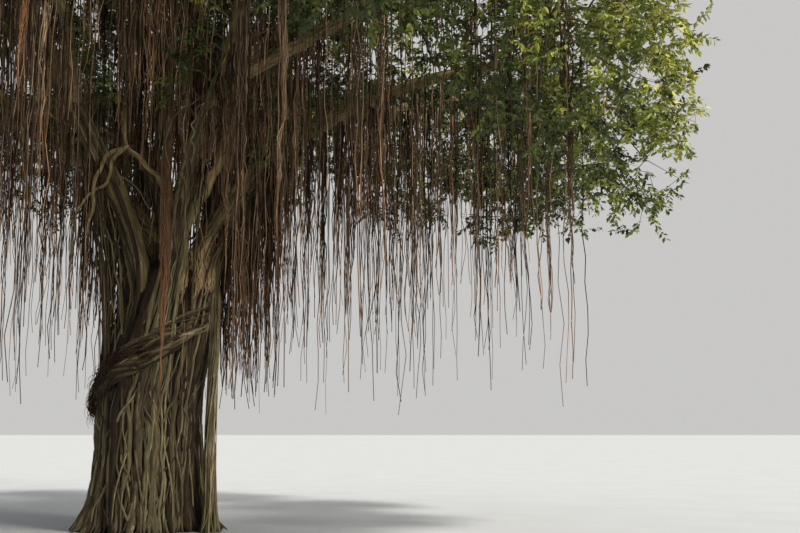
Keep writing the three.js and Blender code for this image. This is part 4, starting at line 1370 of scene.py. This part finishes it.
# Long ones close to the trunk, thick at its sides and back, and open in front of the fork
NEAR_HANGING = {
    "bough_east": (12, 86), "bough_northeast": (7, 60), "bough_north": (7, 60), "bough_west": (5, 40),
    "bough_southwest": (1, 12), "bough_southeast": (1, 8),
}
NEAR_STRETCH = (0.12, 0.38)
# The range of a bundle's length, as shares of its height above the lowest that roots reach
DROP = (0.35, 0.86)
NEAR_DROP = (0.6, 0.97)


def grow_shoots(shape, limb, rng):
    """A limb's leafy shoots, with two single roots on each."""
    lines, radii = limb_shoots(limb, rng)
    add_tubes(shape, lines, radii, 5)
    start, heading, reach = sprays_on(lines[:, 2:], rng, each=8, length=0.34)
    add_twiglets(shape, start, heading, reach)
    deal_leaves(start, heading, reach, rng, np.full(len(start), SHOOT_LIGHT))
    place = rng.integers(2, 7, (len(lines), 2))
    tops = lines[np.arange(len(lines))[:, None], place].reshape(-1, 3)
    lengths = heights_to_hang(tops, rng) * lerp(0.2, 1, rng.uniform(0, 1, len(tops)) ** 1.6)
    deal_singles(tops, lengths, rng, SINGLE_RADII["shoot"])


def make_roots_and_shoots(carriers):
    """All that grows along the limbs: leafy shoots, bundles of hanging roots and single ones."""
    shoot_shape = Shape()
    rng = np.random.default_rng(SEEDS["hanging"])
    for limb in limbs:
        kind = next(label for label in HANGING if limb.name.startswith(label))
        hang_from_limb(limb, rng, *HANGING[kind], DROP)
        if limb.name in NEAR_HANGING:
            hang_from_limb(limb, rng, NEAR_STRETCH, *NEAR_HANGING[limb.name], NEAR_DROP)
        if limb.name in carriers:
            hang_from_twigs(carriers[limb.name], rng, bundles=3, singles=22)
        grow_shoots(shoot_shape, limb, rng)
    shoot_shape.make("limb_shoots", twig_bark, "bark")
    make_tassel(rng)
    top_curtains = [f"top_curtain_{i + 1}" for i in range(TOP_LIMB["count"])]
    inner = [b.name.replace("bough", "inner_curtain") for b in boughs]
    outer = [b.name.replace("bough", "outer_curtain") for b in boughs]
    replaced = {"dark": inner, "brown": top_curtains, "red": ["front_tassel"]}
    for shape, (kind, material) in zip(bundle_shapes, ROOT_KINDS.items()):
        shape.make(f"{kind}_root_bundles", material, "hanging_roots", replaced[kind])
    single_shapes[0].make("dark_single_roots", dark_root, "hanging_roots", outer)
    single_shapes[1].make("brown_single_roots", brown_root, "hanging_roots")


def make_tassel(rng):
    """The long reddish tassel that hangs in front of the trunk and ends in a point."""
    limb = top_limbs[TASSEL["limb"]]
    top = limb.at(TASSEL["step"] / LIMB_STEPS)
    length = top[2] - TASSEL["low"]
    strands, rings = 110, 44
    s = np.linspace(0, 1, rings)
    axis = hang_lines(top[None], np.array([length]), rings, np.array([0.025]), rng)[0]
    width = TASSEL["radius"] * (0.35 + 0.65 * smoothstep(s, 0, 0.5)) * (1 - 0.93 * smoothstep(s, 0.72, 1.0))
    turn = rng.uniform(0, 2 * math.pi, (strands, 1)) + rng.uniform(-0.8, 0.8, (strands, 1)) * s
    turn = turn + 0.5 * ripple(rng, strands, 0.4, 1.2)(s * length)
    away = np.sqrt(rng.uniform(0.02, 1, strands))[:, None] * width
    ends = 1 - 0.4 * rng.uniform(0, 1, (strands, 1)) ** 2.5
    ring = np.minimum(s * ends * (rings - 1), rings - 1.001)
    lines = between_rings(axis, ring) + away[..., None] * outward(turn)
    size = rng.uniform(0.005, 0.010, (strands, 1)) * lerp(1, 0.4, s ** 2)
    young = smoothstep(s, 0.35, 0.95) * rng.uniform(0.3, 0.8, (strands, 1))
    tones = rng.uniform(0, 1, strands)
    brown = rng.uniform(0, 1, strands) < 0.5
    for shape, mine in zip(bundle_shapes[1:], (brown, ~brown)):
        add_tubes(shape, lines[mine], size[mine], 3, SIDEWAYS, tones[mine], young[mine])


# Stage

FLOOR_REACH = 400.0
SKY_STRENGTH = 0.58


def make_floor():
    mesh = bpy.data.meshes.new("floor")
    corners = [(x * FLOOR_REACH, y * FLOOR_REACH, 0) for x, y in ((-1, -1), (1, -1), (1, 1), (-1, 1))]
    mesh.from_pydata(corners, [], [(0, 1, 2, 3)])
    material, shader, node, join = node_maker("pale_floor")
    place = node("ShaderNodeTexCoord").outputs["Object"]
    darker, paler = (0.39, 0.41, 0.44), (0.42, 0.44, 0.47)
    join("Base Color", ramp(node, noise(node, place, 0.6, 4), [(0.3, darker), (0.7, paler)]))
    shader.inputs["Roughness"].default_value = 0.95
    mesh.materials.append(material)
    put_in_scene("floor", mesh)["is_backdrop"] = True


def add_sun(name, energy, degrees, colour, towards):
    """A broad lamp as far off as the sun; towards points from the tree to it."""
    data = bpy.data.lights.new(name, "SUN")
    data.energy = energy
    data.angle = math.radians(degrees)
    data.color = colour
    put_in_scene(name, data).rotation_euler = Vector(towards).to_track_quat("Z", "Y").to_euler()


def make_light():
    """Soft daylight from all round, a key from the right front and a low one that reaches under the crown."""
    world = bpy.data.worlds.new("soft_studio")
    bpy.context.scene.world = world
    world.use_nodes = True
    background = world.node_tree.nodes["Background"]
    background.inputs["Color"].default_value = (1.0, 0.99, 0.97, 1)
    background.inputs["Strength"].default_value = SKY_STRENGTH
    add_sun("key", energy=4.4, degrees=9, colour=(1.0, 0.94, 0.82), towards=(0.62, -0.42, 1.0))
    add_sun("low_key", energy=1.7, degrees=10, colour=(1.0, 0.93, 0.82), towards=(0.80, -0.70, 0.36))
    bpy.context.scene.view_settings.view_transform = "Standard"


def make_camera():
    """The photograph's view: 21.6 m in front of the trunk and 4.7 m to its right, tilted up."""
    frame_width, focal_pixels, rise_pixels = 800, 1100, 163.5
    data = bpy.data.cameras.new("camera")
    data.sensor_width = 36
    data.lens = 36 * focal_pixels / frame_width
    camera = put_in_scene("camera", data)
    camera.location = CAMERA_PLACE
    camera.rotation_euler = (math.pi / 2 + math.atan(rise_pixels / focal_pixels), 0, 0)
    bpy.context.scene.camera = camera


make_camera()
make_light()
make_floor()
make_trunk()
make_pillar()
make_crooked_branches()
for number, one_limb in enumerate(limbs):
    limb_piece(one_limb, SEEDS["bark"] + 3 * number)
make_roots_and_shoots(make_foliage())
for shape, (label, leaf_kind) in zip(leaf_shapes, LEAF_KINDS.items()):
    shape.make(f"leaves_{label}", leaf_kind, "foliage", smooth=False)
